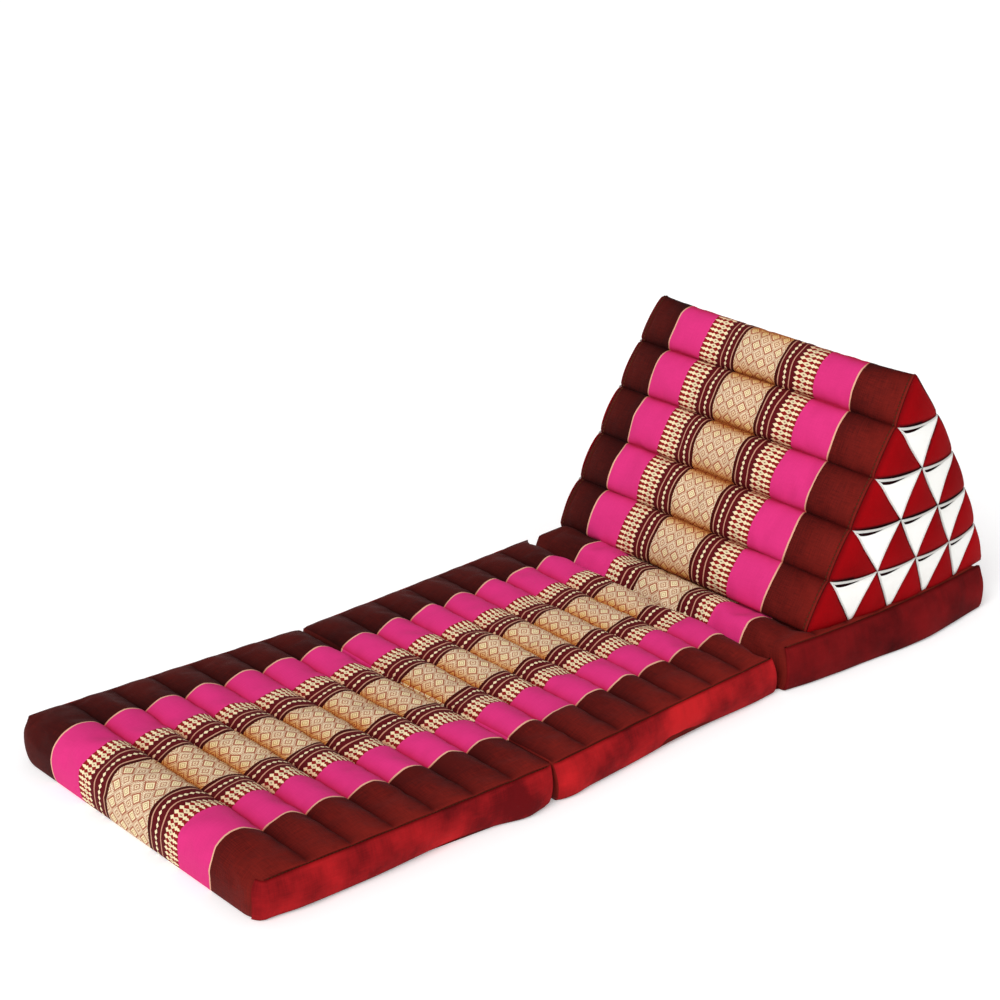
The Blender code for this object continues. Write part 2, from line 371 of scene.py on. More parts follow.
@dataclass(frozen=True)
class StripedCloth:
    """The striped cloth of the rolls, mirrored about its gold middle.

    The stripes' edges are distances from the middle, in metres.
    """

    name: str
    gold: float
    border: float
    comb: float
    pink: float
    pitch: float = 0.0083
    cell: tuple[float, float] = (0.023, 0.024)
    dot: tuple[float, float] = (0.0023, 0.0024)
    tooth: tuple[float, float] = (0.0029, 0.0030)
    thread: float = 0.0010
    slub: tuple[float, float] = (0.0016, 0.026)
    weft: tuple[float, float] = (0.0014, 0.020)
    fine_line: float = 0.0010
    inner_wine: float = 0.0085
    piping: float = 0.0013
    relief: float = 0.00022

    maroon: Colour = (0.082, 0.0055, 0.0045)
    # The lighter maroon is used for the slub flecks and for the painted light towards the side
    # seam.
    fleck_and_lit_maroon: Colour = (0.195, 0.0125, 0.0085)
    dark_maroon: Colour = (0.055, 0.0035, 0.0028)
    wine: Colour = (0.105, 0.0055, 0.0085)
    rose: Colour = (0.690, 0.0330, 0.2000)
    peach: Colour = (0.760, 0.4100, 0.2700)
    cream: Colour = (0.900, 0.7700, 0.4800)
    brick: Colour = (0.260, 0.0130, 0.0110)
    tan: Colour = (0.600, 0.4000, 0.2100)
    sand: Colour = (0.900, 0.7900, 0.5600)
    rust: Colour = (0.340, 0.0720, 0.0300)
    olive: Colour = (0.420, 0.2700, 0.1000)

    # Multiplying tints, in order: painted warm shade in the gold panel's valleys, a darker maroon
    # on the far side, random thread tone, painted shade by the sewn lines, and painted shade over
    # the plain maroon towards the valleys.
    gold_valley_shade_tint: Colour = (0.90, 0.64, 0.25)
    far_tint: Colour = (0.50, 0.70, 0.75)
    thread_tint: Colour = (0.80, 0.74, 0.76)
    sewn_line_shade_tint: Colour = (0.60, 0.22, 0.16)
    maroon_valley_shade_tint: Colour = (0.46, 0.38, 0.38)

    def diamond(self, x: Wire, y: Wire, wide: float, long: float) -> Wire:
        """Below 1 inside a diamond of those half sizes, and above 1 outside."""
        return x / wide + y / long

    def gold_panel(self, board: Board, across: Wire, along: Wire, colour: Wire) -> Wire:
        """Draws the small diamonds of the gold middle over its ground.

        Args:
            board: The material's nodes.
            across: Metres from the middle of the cloth.
            along: Metres along it.
            colour: The ground.

        Returns:
            The panel's colour.
        """
        x, y = across.repeat(self.cell[0]), along.repeat(self.cell[1])
        corner_x = across.repeat(self.cell[0], 0.5)
        corner_y = along.repeat(self.cell[1], 0.5)
        rust, cream = solid(self.rust), solid(self.cream)
        dots = (across.repeat(self.dot[0]) < 0.27) * (along.repeat(self.dot[1]) < 0.27)
        lattice = abs(x + y - 0.53) < 0.050
        colour = board.paint(colour, rust, dots * 0.42)
        colour = board.paint(colour, rust, lattice * (dots * 0.70 + 0.28))
        small = self.diamond(corner_x, corner_y, 0.23, 0.23)
        colour = board.paint(colour, rust, (small < 1.15) * (small > 0.72) * 0.72)
        colour = board.paint(colour, cream, (small < 0.72) * 0.55)
        colour = board.paint(colour, rust, (small < 0.32) * 0.85)
        large = self.diamond(x, y, 0.340, 0.325)
        teeth = (across.repeat(self.tooth[0]) + along.repeat(self.tooth[1])) * 0.16
        colour = board.paint(colour, rust, (large + teeth < 1.42) * 0.90)
        colour = board.paint(colour, cream, large < 0.94)
        ring = (large < 0.66) * (large > 0.42)
        return board.paint(colour, solid(self.olive), ring.either(large < 0.17) * 0.75)

    def border_stripe(self, board: Board, out: Wire, along: Wire) -> Wire:
        """The dark border: two fine lines with a chain of beads between them."""
        colour = board.paint(solid(self.dark_maroon), solid(self.wine), out > self.inner_wine)
        width = self.border - self.gold
        inner = abs(out - width * 0.19) < self.fine_line
        outer = abs(out - width * 0.81) < self.fine_line
        colour = board.paint(colour, solid(self.peach), inner.either(outer) * 0.75)
        bead = self.diamond(
            abs(out - width * 0.5), along.repeat(self.pitch), 0.0027, 0.47
        )
        return board.paint(colour, solid(self.cream), bead < 1.0)

    def comb_stripe(self, board: Board, out: Wire, along: Wire) -> Wire:
        """Rows of a bead, an eyed diamond and an arrowhead, pointing outwards."""
        y = along.repeat(self.pitch, 0.5)
        share = out / (self.comb - self.border)
        colour = board.paint(solid(self.wine), solid(self.brick), share > 0.12)
        bead = self.diamond(abs(share - 0.16), y, 0.145, 0.40) < 1.0
        eye = self.diamond(abs(share - 0.46), y, 0.215, 0.47)
        wing = self.diamond(abs(share - 0.72), y, 0.125, 0.40) < 1.0
        spear = self.diamond(abs(share - 0.86), y, 0.160, 0.26) < 1.0
        cream = bead.either(eye < 1.0).either(wing).either(spear)
        colour = board.paint(colour, solid(self.cream), cream)
        pupil = (eye < 0.30).either((eye < 0.66) * (eye > 0.52) * 0.45)
        return board.paint(colour, solid(self.wine), pupil * 0.8)

    def material(self) -> bpy.types.Material:
        """Builds the material."""
        board = Board(self.name)
        across, along = board.cloth_places()
        place = board.object_place()
        shake = board.speckle(place, 160.0, 1.0)
        out = abs(across) + (shake - 0.5) * 0.0008
        slub = board.streaks(across, along, *self.slub)
        weft = board.streaks(along, across, *self.weft)
        cloudy = board.speckle(place, 8.0, 3.0)
        grain = board.speckle(place, 900.0, 1.0)

        valley = board.valley()
        sewn = valley * valley * valley
        colour = board.paint(solid(self.tan), solid(self.sand), (grain * 3.4 - 1.0).limited())
        colour = self.gold_panel(board, across, along, colour)
        # Painted shade: the gold panel turns a darker warm orange towards the valleys between the
        # rolls.
        glow = (valley * valley * 1.3).limited()
        colour = board.tint(colour, self.gold_valley_shade_tint, glow)
        border = self.border_stripe(board, out - self.gold, along)
        colour = board.paint(colour, border, out > self.gold)
        comb = self.comb_stripe(board, out - self.border, along)
        colour = board.paint(colour, comb, out > self.border)
        colour = board.paint(colour, solid(self.rose), out > self.comb)
        # Slub flecks, plus painted light: the plain maroon grows lighter and redder towards the
        # side seam.
        flecks_and_painted_light = (slub + weft - 1.0) * 1.3 + cloudy * 1.4 - 0.25
        flecks_and_painted_light = (flecks_and_painted_light + (out - self.pink - 0.045) * 9.0).limited()
        plain = board.paint(solid(self.maroon), solid(self.fleck_and_lit_maroon), flecks_and_painted_light)
        plain = board.tint(plain, self.far_tint, across > 0.0)
        colour = board.paint(colour, plain, out > self.pink)
        colour = board.paint(colour, solid(self.peach), abs(out - self.pink) < self.piping)

        threads = (slub + weft - 1.0) * 0.5
        worn = (threads + cloudy * 0.8 - 0.2).limited()
        colour = board.tint(colour, self.thread_tint, worn)
        # Painted shade: darker and redder close to the sewn valley lines.
        colour = board.tint(colour, self.sewn_line_shade_tint, (sewn * 0.85).limited())
        # Painted shade: the plain maroon darkens towards the valleys.
        maroon_valley_shade = (valley - 0.15) * 0.95 * (out > self.pink)
        colour = board.tint(colour, self.maroon_valley_shade_tint, maroon_valley_shade.limited())
        weave = across.wave(self.thread) * along.wave(self.thread)
        height = weave * 0.25 + (slub + weft) * 0.45 + cloudy * 0.6
        board.dress(colour, height, slub * 0.15 + 0.62, self.relief)
        board.sheen(0.03, (1.0, 0.6, 0.6))
        return board.material


# Cloth in mesh form


def sleeve(
    around: int, along: int, place: Place, marks: Callable[[int, int], Mark], closed: bool = True
) -> bmesh.types.BMesh:
    """A flat grid laid along a surface and, if closed, joined into a sleeve with two ends.

    Args:
        around: Steps round the sleeve.
        along: Steps along it.
        place: The point for a step round and a step along.
        marks: (across, along, valley) of the cloth at those steps, and 1 where it is held.
        closed: Whether the last step round meets the first.

    Returns:
        The mesh, with its UV map and valley attribute.
    """
    mesh = bmesh.new()
    uv = mesh.loops.layers.uv.new(UV_NAME)
    valley = mesh.verts.layers.float.new(VALLEY_NAME)
    held = mesh.verts.layers.float.new(HELD_NAME)
    bmesh.ops.create_grid(mesh, x_segments=around, y_segments=along, size=0.5)
    steps = {}
    for vert in mesh.verts:
        steps[vert] = (round((vert.co.x + 0.5) * around), round((vert.co.y + 0.5) * along))
    noted = {}
    for vert, step in steps.items():
        vert.co = place(*step)
        noted[vert] = marks(*step)
        vert[valley] = noted[vert][2]
        vert[held] = 1.0 if len(noted[vert]) < 4 else noted[vert][3]
    for face in mesh.faces:
        for loop in face.loops:
            loop[uv].uv = noted[loop.vert][:2]
    if closed:
        pairs = {}
        for vert, (step, row) in steps.items():
            if step in (0, around):
                pairs.setdefault(row, {})[step] = vert
        joins = {pair[around]: pair[0] for pair in pairs.values()}
        bmesh.ops.weld_verts(mesh, targetmap=joins)
        bmesh.ops.holes_fill(mesh, edges=mesh.edges, sides=0)
    return mesh


@dataclass
class Piece:
    """What every piece of the object is given once its mesh is made: its name and materials, with
    its imported nodes hidden; the slot is only kept.
    """

    name: str
    slot: Slot
    nodes: tuple[str, ...]
    materials: tuple[bpy.types.Material, ...]

    def make(self, mesh: bmesh.types.BMesh) -> bpy.types.Object:
        """Turns the mesh into an object that stands for its nodes.

        Args:
            mesh: The piece's mesh, which is freed.

        Returns:
            The object.
        """
        bmesh.ops.recalc_face_normals(mesh, faces=mesh.faces)
        if mesh.calc_volume(signed=True) < 0:
            bmesh.ops.reverse_faces(mesh, faces=mesh.faces)
        for face in mesh.faces:
            face.smooth = True
        data = bpy.data.meshes.new(self.name)
        mesh.to_mesh(data)
        mesh.free()
        made = bpy.data.objects.new(self.name, data)
        bpy.context.scene.collection.objects.link(made)
        for material in self.materials:
            data.materials.append(material)
        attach(made, BODY)
        if self.nodes:
            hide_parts(*self.nodes)
        LOG.info("%s: %d faces", self.name, len(data.polygons))
        return made


@dataclass(frozen=True)
class Filling:
    """How the cloth of a padded piece settles over its filling, in a short simulation."""

    frames: int = 15
    quality: int = 4
    pressure: float = 0.25
    extra_cloth: float = 0.022
    mass: float = 0.15
    stretch: float = 15.0
    shear: float = 5.0
    bending: float = 1.5
    limit: float = 0.0034
    smooths: int = 2

    def simulate(self, made: bpy.types.Object, held: list[bool]) -> list[Vector]:
        """Runs the simulation, without gravity.

        Args:
            made: The piece.
            held: For each point, whether it is sewn down.

        Returns:
            The points' places at its end.
        """
        group = made.vertex_groups.new(name="sewn")
        group.add([k for k, sewn in enumerate(held) if sewn], 1.0, "REPLACE")
        cloth = made.modifiers.new("fill", "CLOTH")
        settings = cloth.settings
        settings.quality = self.quality
        settings.mass = self.mass
        settings.tension_stiffness = self.stretch
        settings.compression_stiffness = self.stretch
        settings.shear_stiffness = self.shear
        settings.bending_stiffness = self.bending
        settings.use_pressure = True
        settings.uniform_pressure_force = self.pressure
        settings.shrink_min = -self.extra_cloth
        settings.vertex_group_mass = group.name
        settings.effector_weights.gravity = 0.0
        cloth.collision_settings.use_collision = False
        cloth.point_cache.frame_start = 1
        cloth.point_cache.frame_end = self.frames
        for frame in range(1, self.frames + 1):
            bpy.context.scene.frame_set(frame)
        filled = made.evaluated_get(bpy.context.evaluated_depsgraph_get())
        places = [vert.co.copy() for vert in filled.data.vertices]
        made.modifiers.remove(cloth)
        made.vertex_groups.remove(group)
        return places

    def settle(self, made: bpy.types.Object) -> None:
        """Gives a piece the form that it settles to.

        Args:
            made: The piece, with a held attribute on its points.
        """
        data = made.data
        held = [entry.value > 0.5 for entry in data.attributes[HELD_NAME].data]
        places = self.simulate(made, held)
        mesh = bmesh.new()
        mesh.from_mesh(data)
        loose = [vert for vert in mesh.verts if not held[vert.index]]
        for vert, place in zip(mesh.verts, places):
            step = place - vert.co
            vert.co += step * min(1.0, self.limit / max(TINY, step.length))
        for _ in range(self.smooths):
            bmesh.ops.smooth_vert(
                mesh, verts=loose, factor=0.5, use_axis_x=True, use_axis_y=True, use_axis_z=True
            )
        mesh.to_mesh(data)
        mesh.free()
        bpy.context.scene.frame_set(1)
        LOG.info("%s settled", made.name)


FILLING = Filling()


@dataclass
class Wardrobe:
    """The finishes that the pieces share, made once."""

    mat_cloth: bpy.types.Material = field(init=False)
    wedge_cloth: bpy.types.Material = field(init=False)
    maroon: bpy.types.Material = field(init=False)
    band: bpy.types.Material = field(init=False)
    shaded_head_band: bpy.types.Material = field(init=False)
    end: bpy.types.Material = field(init=False)
    white: bpy.types.Material = field(init=False)
    thread: bpy.types.Material = field(init=False)

    def __post_init__(self) -> None:
        """Builds every material."""
        self.mat_cloth = StripedCloth(
            "striped_mat", gold=0.046, border=0.081, comb=0.1105, pink=0.177
        ).material()
        self.wedge_cloth = StripedCloth(
            "striped_backrest", gold=0.042, border=0.077, comb=0.118, pink=0.1865,
            cell=(0.021, 0.0245),
        ).material()
        self.maroon = PlainCloth(
            "maroon_cotton", (0.060, 0.0040, 0.0032), (0.150, 0.0110, 0.0080), sheen=0.05
        ).material()
        self.band = PlainCloth(
            "red_band_cotton", (0.120, 0.0038, 0.0055), (0.500, 0.0135, 0.0170), sheen=0.06,
            streak=0.20, cloud=12.0, mottle=3.0,
        ).material()
        # Painted shade: a darker copy of the red band, for the head section's bands, which lie in
        # shade.
        self.shaded_head_band = PlainCloth(
            "dark_red_band_cotton", (0.040, 0.0018, 0.0024), (0.200, 0.0060, 0.0075),
            sheen=0.04, streak=0.18, cloud=11.0, mottle=2.6,
        ).material()
        # Its shade colour paints the cloth behind the white triangles near black, a painted shadow
        # in their open mouths, and darkens the rims of the padded triangles.
        self.end = PlainCloth(
            "red_end_cotton", (0.205, 0.0005, 0.0020), (0.325, 0.0010, 0.0035), sheen=0.0,
            streak=0.2, shade=(0.06, 0.80, 0.60), mottle=2.4,
        ).material()
        # Its shade colour paints the turned edges and side folds grey, as painted shade.
        self.white = PlainCloth(
            "white_cotton", (0.920, 0.9100, 0.8700), (0.960, 0.9550, 0.9250), sheen=0.05,
            streak=0.2, shade=(0.55, 0.55, 0.54),
        ).material()
        self.thread = PlainCloth(
            "dark_thread", (0.040, 0.0110, 0.0050), (0.100, 0.0300, 0.0130), sheen=0.02
        ).material()


def gather(parts: list[bmesh.types.BMesh]) -> bmesh.types.BMesh:
    """Joins several meshes in one, and frees them."""
    whole = bmesh.new()
    whole.loops.layers.uv.new(UV_NAME)
    whole.verts.layers.float.new(VALLEY_NAME)
    for part in parts:
        data = bpy.data.meshes.new("part")
        part.to_mesh(data)
        part.free()
        whole.from_mesh(data)
        bpy.data.meshes.remove(data)
    return whole


@dataclass(frozen=True)
class Stitch:
    """A kind of stitch, each one a short fat thread."""

    count: int
    length: float
    radius: float

    def row(self, path: Callable[[float], Vector]) -> list[bmesh.types.BMesh]:
        """Makes a row of stitches.

        Args:
            path: The row's line, from 0 to 1.

        Returns:
            One mesh for each stitch.
        """
        found = []
        for k in range(self.count):
            share = (k + 0.5) / self.count
            ahead = path(min(1.0, share + 0.002)) - path(max(0.0, share - 0.002))
            mesh = bmesh.new()
            mesh.loops.layers.uv.new(UV_NAME)
            mesh.verts.layers.float.new(VALLEY_NAME)
            bmesh.ops.create_icosphere(mesh, subdivisions=1, radius=self.radius)
            stretch = (1.0, 1.0, self.length / 2 / self.radius)
            bmesh.ops.scale(mesh, verts=mesh.verts, vec=stretch)
            turn = ahead.to_track_quat("Z", "X").to_matrix()
            bmesh.ops.rotate(mesh, verts=mesh.verts, cent=(0.0, 0.0, 0.0), matrix=turn)
            bmesh.ops.translate(mesh, verts=mesh.verts, vec=path(share))
            found.append(mesh)
        return found


SEAM_STITCH = Stitch(84, 0.0036, 0.0007)
END_STITCH = Stitch(70, 0.0056, 0.0012)


# The mat


@dataclass
class Ground:
    """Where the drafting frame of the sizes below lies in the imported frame."""

    shift: Vector = field(default_factory=Vector)

    def measure(self) -> None:
        """Reads the place from the strip between the foot and the middle section."""
        low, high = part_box("hinge_foot_middle")
        fold_x = (FOOT.end + MIDDLE.start) / 2
        middle = (low + high) / 2
        self.shift = Vector((middle.x - fold_x, middle.y - FOOT.sway[1], 0.0))

    def at(self, x: float, y: float, z: float) -> Point:
        """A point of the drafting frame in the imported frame."""
        return x + self.shift.x, y + self.shift.y, z


GROUND = Ground()

MAT_WIDTH = 0.530
SEAM_HEIGHT = 0.055
VALLEY_HEIGHT = 0.057
ROLLS = 7
ROLL_STEPS = 16
END_STEPS = 9
TURN_STEPS = 12
FLOOR_PHASES = (0.0, 0.06, 0.18, 0.5, 0.82, 0.94)
SIDE_BULGE = 0.006
FLOOR_INSET = 0.003
FLOOR_ROUND = 0.12
FLOOR_GROOVE = 0.0035
END_BULGE = 0.0035
VALLEY_WIDTH = 0.015
BAND_THICKNESS = 0.0014
BAND_FLAT_HEIGHT = 0.053
STRIP_THICKNESS = 0.0012
CLEARANCE = 0.0004
TAPER = 0.10
SEAM_BEND = 0.55
FAR_LIFT = 0.0060
FLOOR_SHARE = 0.6
NEAR_FULLNESS = (0.10, 0.55)
FAR_FULLNESS = (0.20, 0.45)
BAND_BULGE = 0.0016
BAND_FLARE = 0.0022
BAND_TUCK = 0.0025
BAND_LOWEST = 0.0015

LUMP = Unevenness(0.0022, 0.055)
CREASE = Unevenness(0.0020, 0.0085, 7.0)
PUCKER = Unevenness(0.0014, 0.012, 11.0)
BAND_PUCKER = Unevenness(0.0016, 0.013, 20.0)
BAND_FOLD = Unevenness(0.0030, 0.042, 31.0)
BAND_WAVE = Unevenness(0.0040, 0.13, 43.0)


def half_width(height: float) -> float:
    """Half the width of a filled section at a share of its height."""
    rounding = max(0.0, 1 - height / FLOOR_ROUND)
    outside = MAT_WIDTH / 2 - BAND_THICKNESS - CLEARANCE - SIDE_BULGE
    return outside + SIDE_BULGE * math.sin(math.pi * height) - FLOOR_INSET * rounding


def taper(across: float, share: float = TAPER) -> float:
    """Share of a roll's full height, from 0 at the side seam to 1 further in."""
    inward = min(1.0, (1 - abs(across)) / share)
    return math.sqrt(max(0.0, 1 - (1 - inward) ** 2))


def fullness(across: float) -> float:
    """Share of a roll's rise: it falls away over the plain edges, least at the far one."""
    edge, fall = NEAR_FULLNESS if across < 0 else FAR_FULLNESS
    inward = min(1.0, (1 - abs(across)) / fall)
    return edge + (1 - edge) * (1 - (1 - inward) ** 1.8)


def arch(turn: float) -> float:
    """Height of a roll at a turn from 0 to pi, between a half ellipse and a parabola."""
    return 0.5 * math.sin(turn) + 0.5 * math.sin(turn) ** 2


def spread_steps(count: int, edge: float, edge_steps: int) -> list[float]:
    """Places from -1 to 1 that crowd together within `edge` of each end.

    Args:
        count: Steps in all.
        edge: The crowded share of the half width.
        edge_steps: Steps within it.

    Returns:
        count + 1 places.
    """
    turn = [1 - edge * (1 - math.cos(math.pi / 2 * k / edge_steps)) for k in range(edge_steps)]
    inner = count - 2 * edge_steps
    middle = [mix(-(1 - edge), 1 - edge, k / inner) for k in range(inner + 1)]
    return [-place for place in turn] + middle + turn[::-1]


@dataclass
class Station:
    """One step round a section: the point of the full profile and of the profile at the
    side seam, as distances from the section's start and heights."""

    full: tuple[float, float]
    seam: tuple[float, float]
    valley: float = 0.0
    floor: bool = False
    lift: float = 0.0


@dataclass
class MatSection:
    """One section of the mat: seven filled rolls with rounded or flat ends."""

    name: str
    start: float
    end: float
    sway: tuple[float, float]
    skew: tuple[float, float]
    lean: tuple[float, float]
    belly: float
    near_spread: tuple[float, float]
    far_spread: tuple[float, float]
    stripe: tuple[float, float]
    rises: tuple[float, float]
    round_start: float
    round_end: float
    edge_lift: float
    dents: tuple[tuple[float, float, float], ...]
    seed: float

    @property
    def length(self) -> float:
        """Length at the floor."""
        return self.end - self.start

    def rise(self, number: int) -> float:
        """How far a roll stands over its sewn lines."""
        return self.rises[0] if number == 0 else self.rises[1]

    def turned_end(self, bulge: float, rise: float) -> list[Station]:
        """An end whose roll goes round to the floor, from the floor up to the crown.

        Args:
            bulge: How far the end stands out.
            rise: The roll's rise.

        Returns:
            The stations, the crown's left out, as distances in from the end.
        """
        half = self.length / ROLLS / 2
        level = 0.45 * (VALLEY_HEIGHT + rise)
        found = []
        for k in range(END_STEPS):
            turn = math.pi / 2 * k / END_STEPS
            share = k / END_STEPS
            out = bulge * mix(FLOOR_SHARE, 1.0, math.sin(turn) ** 0.8)
            full = (-out, level * (1 - math.cos(turn)))
            found.append(Station(full, (0.0, SEAM_BEND * SEAM_HEIGHT * share)))
        for k in range(TURN_STEPS):
            turn = math.pi / 2 * k / TURN_STEPS
            share = k / TURN_STEPS
            full = (
                half - (half + bulge) * math.cos(turn) ** 0.85,
                level + (VALLEY_HEIGHT - level) * math.sin(turn) ** 0.85,
            )
            up, over = min(1.0, 2 * share), max(0.0, 2 * share - 1)
            seam = (half * over, SEAM_HEIGHT * mix(SEAM_BEND, 1.0, up))
            found.append(Station(full, seam, lift=rise * math.sin(turn)))
        return found

    def flat_end(self) -> list[Station]:
        """An end that lies against its neighbour, from the floor up to its sewn line."""
        found = []
        for k in range(END_STEPS):
            share = k / END_STEPS
            bulge = END_BULGE * math.sin(math.pi * share) ** 0.7
            found.append(Station((-bulge, VALLEY_HEIGHT * share), (0.0, SEAM_HEIGHT * share)))
        return found

    def top(self) -> list[Station]:
        """The steps over the rolls, from one sewn end to the other."""
        pitch = self.length / ROLLS
        found = []
        for number in range(ROLLS):
            for k in range(ROLL_STEPS):
                turn = math.pi * k / ROLL_STEPS
                place = (number + (1 - math.cos(turn)) / 2) * pitch
                near = min(place - number * pitch, (number + 1) * pitch - place)
                valley = math.exp(-near / VALLEY_WIDTH) if 0 < place < self.length else 0.0
                full, seam = (place, VALLEY_HEIGHT), (place, SEAM_HEIGHT)
                found.append(Station(full, seam, valley, lift=self.rise(number) * arch(turn)))
        found.append(Station((self.length, VALLEY_HEIGHT), (self.length, SEAM_HEIGHT)))
        return found

    def under(self, start: tuple[float, float]) -> list[Station]:
        """The steps along the floor, back from the section's end.

        Args:
            start: The end's lowest point, as a distance and a height.

        Returns:
            The stations, without the one where the sleeve closes.
        """
        pitch = self.length / ROLLS
        found = [Station(start, (self.length, 0.0), floor=True)]
        for number in range(ROLLS, 0, -1):
            for phase in FLOOR_PHASES[1:] if number == ROLLS else FLOOR_PHASES:
                place = (number - phase) * pitch
                groove = FLOOR_GROOVE * math.exp(-min(phase, 1 - phase) / 0.07)
                found.append(Station((place, groove), (place, 0.0), floor=True))
        return found

    def stations(self) -> list[Station]:
        """Every step round the section, from the start's floor seam, over the rolls."""
        top, half = self.top(), ROLL_STEPS // 2
        before = after = self.flat_end()
        if self.round_start:
            before, top = self.turned_end(self.round_start, self.rise(0)), top[half:]
        if self.round_end:
            after, top = self.turned_end(self.round_end, self.rise(ROLLS - 1)), top[:-half]
        after = [self.mirrored(station) for station in after]
        last = Station(before[0].full, (0.0, 0.0))
        return [*before, *top, *after[::-1][:-1], *self.under(after[0].full), last]

    def mirrored(self, station: Station) -> Station:
        """The same station at the section's other end."""
        full = (self.length - station.full[0], station.full[1])
        seam = (self.length - station.seam[0], station.seam[1])
        return Station(full, seam, station.valley, station.floor, station.lift)

    def point(self, station: Station, across: float) -> Point:
        """The point of the section's surface at a station and a place across."""
        share = taper(across)
        place = mix(station.seam[0], station.full[0], share)
        z = mix(station.seam[1], station.full[1], share)
        height = min(1.0, z / SEAM_HEIGHT)
        z += station.lift * fullness(across)
        along = place / self.length
        if not station.floor and z > 0.4 * SEAM_HEIGHT:
            out, sewn = across * MAT_WIDTH / 2, station.valley**3
            uneven = LUMP.at(place, out, self.seed) * (1 - 0.8 * station.valley)
            uneven += CREASE.at(place * 0.6, out, self.seed) * sewn * (1 - sewn) * 4
            uneven += PUCKER.at(place, across * 0.05, self.seed) * ramp(abs(across), 0.80, 0.93)
            z += uneven * share
        return self.place(along, across, height, half_width(height) * across, z)

    def place(
        self, along: float, across: float, height: float, out: float, z: float
    ) -> Point:
        """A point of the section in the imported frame.

        Args:
            along: Share of the length.
            across: Share of the half width, -1 at the near side.
            height: Share of the seam's height, for the lean of the ends.
            out: Distance from the middle line.
            z: Height.

        Returns:
            The point.
        """
        first, last = self.lean
        start_in = first * height if first > 0 else -first * (1 - height)
        end_in = last * height if last > 0 else -last * (1 - height)
        x = mix(self.start + start_in, self.end - end_in, along)
        x -= mix(self.skew[0], self.skew[1], along) * across
        inside = min(1.0, max(0.0, along))
        y = out + self.belly * math.sin(math.pi * inside) * across
        y += max(0.0, across) * mix(*self.far_spread, inside)
        low = max(0.0, 1 - height) ** 0.8
        y -= mix(*self.near_spread, inside) * low * ramp(-across, 0.5, 1.0)
        if across < 0:
            low *= sum(
                depth * math.exp(-(((inside - centre) / spread) ** 2))
                for centre, spread, depth in self.dents
            )
            y -= low * ramp(-across, 0.5, 1.0)
        edge = self.edge_lift * ramp(abs(across), 0.86, 0.97)
        z += max(edge, FAR_LIFT * ramp(across, 0.35, 1.0)) * min(1.0, z / SEAM_HEIGHT)
        y += mix(self.sway[0], self.sway[1], along)
        return GROUND.at(x, y, max(z, 0.0))

    def add_rolls(self, wardrobe: Wardrobe) -> bpy.types.Object:
        """Builds the filled rolls."""
        stations = self.stations()
        columns = spread_steps(104, TAPER * 1.05, 9)
        lengths = [0.0]
        for before, after in zip(stations, stations[1:]):
            rise = after.full[1] + after.lift - before.full[1] - before.lift
            lengths.append(lengths[-1] + math.hypot(after.full[0] - before.full[0], rise))

        def place(step: int, column: int) -> Point:
            """The point at those steps."""
            return self.point(stations[step], columns[column])

        def marks(step: int, column: int) -> Mark:
            """What the cloth there is marked with, as sleeve takes it."""
            across = columns[column]
            share = min(1.0, max(0.0, stations[step].full[0] / self.length))
            # The valley mark sets where shade is painted: strongest on the sewn lines, fading out
            # at the side seams.
            return (
                across * MAT_WIDTH / 2 - mix(*self.stripe, share),
                lengths[step],
                stations[step].valley * taper(across, 0.03),
                float(stations[step].lift < 1e-6 or abs(across) > 0.985),
            )

        mesh = sleeve(len(stations) - 1, len(columns) - 1, place, marks)
        floor_start = next(k for k, station in enumerate(stations) if station.floor)
        uv = mesh.loops.layers.uv[UV_NAME]
        for face in mesh.faces:
            start = max(loop[uv].uv.y for loop in face.loops)
            if start > lengths[floor_start] + 1e-5 or len(face.verts) > 4:
                face.material_index = 1
        piece = Piece(
            f"rolls_{self.name}", Slot.ROLL, (f"mat_{self.name}",),
            (wardrobe.mat_cloth, wardrobe.maroon),
        )
        made = piece.make(mesh)
        FILLING.settle(made)
        return made

    def add_band(self, side: Side, rolls: bpy.types.Object, wardrobe: Wardrobe) -> None:
        """Builds the plain band along one long side, round the corners at both ends."""
        steps, rows = 210, 16
        across = side.value
        near = side is Side.NEAR
        first, last = 0.65 * near * self.round_start, near * self.round_end

        def place(step: int, row: int) -> Point:
            """The point at those steps."""
            metres = mix(-first, self.length + last, step / steps)
            height = mix(0.035, 1.0, row / rows)
            past = max(-metres, metres - self.length)
            if past > 0:
                return self.round_corner(past, height, metres > 0, across)
            free = ramp(-past, 0.0, 0.045)
            wrapped = first if metres < self.length / 2 else last
            tuck = 0.0 if wrapped else 1 - ramp(-past, 0.0, 0.010)
            pucker = BAND_PUCKER.at(metres, 0.0, self.seed, across)
            fold = BAND_FOLD.at(metres, height * 0.03, self.seed, across)
            wave = BAND_WAVE.at(metres, 0.0, self.seed, across)
            inside = math.sin(math.pi * height)
            out = half_width(height) + CLEARANCE + BAND_THICKNESS
            at_seam = ramp(height, 0.40, 0.85) * (1 - ramp(height, 0.93, 1.0))
            out += pucker * at_seam * free
            out += (fold + BAND_BULGE) * inside * free
            out += (wave + BAND_FLARE) * (1 - height) ** 0.6 * free
            out -= BAND_TUCK * tuck
            z = max(BAND_LOWEST, height * SEAM_HEIGHT + 0.5 * wave * (1 - height) ** 2)
            return self.place(metres / self.length, across, height, out * across, z)

        def marks(step: int, row: int) -> Mark:
            """What the cloth there is marked with, as sleeve takes it."""
            # Painted shade: darker along the top seam and along the bottom edge by the floor.
            seam = max(ramp(row / rows, 0.93, 1.0), 0.6 * (1 - ramp(row / rows, 0.0, 0.12)))
            return step / steps * self.length, row / rows * SEAM_HEIGHT, 0.8 * seam

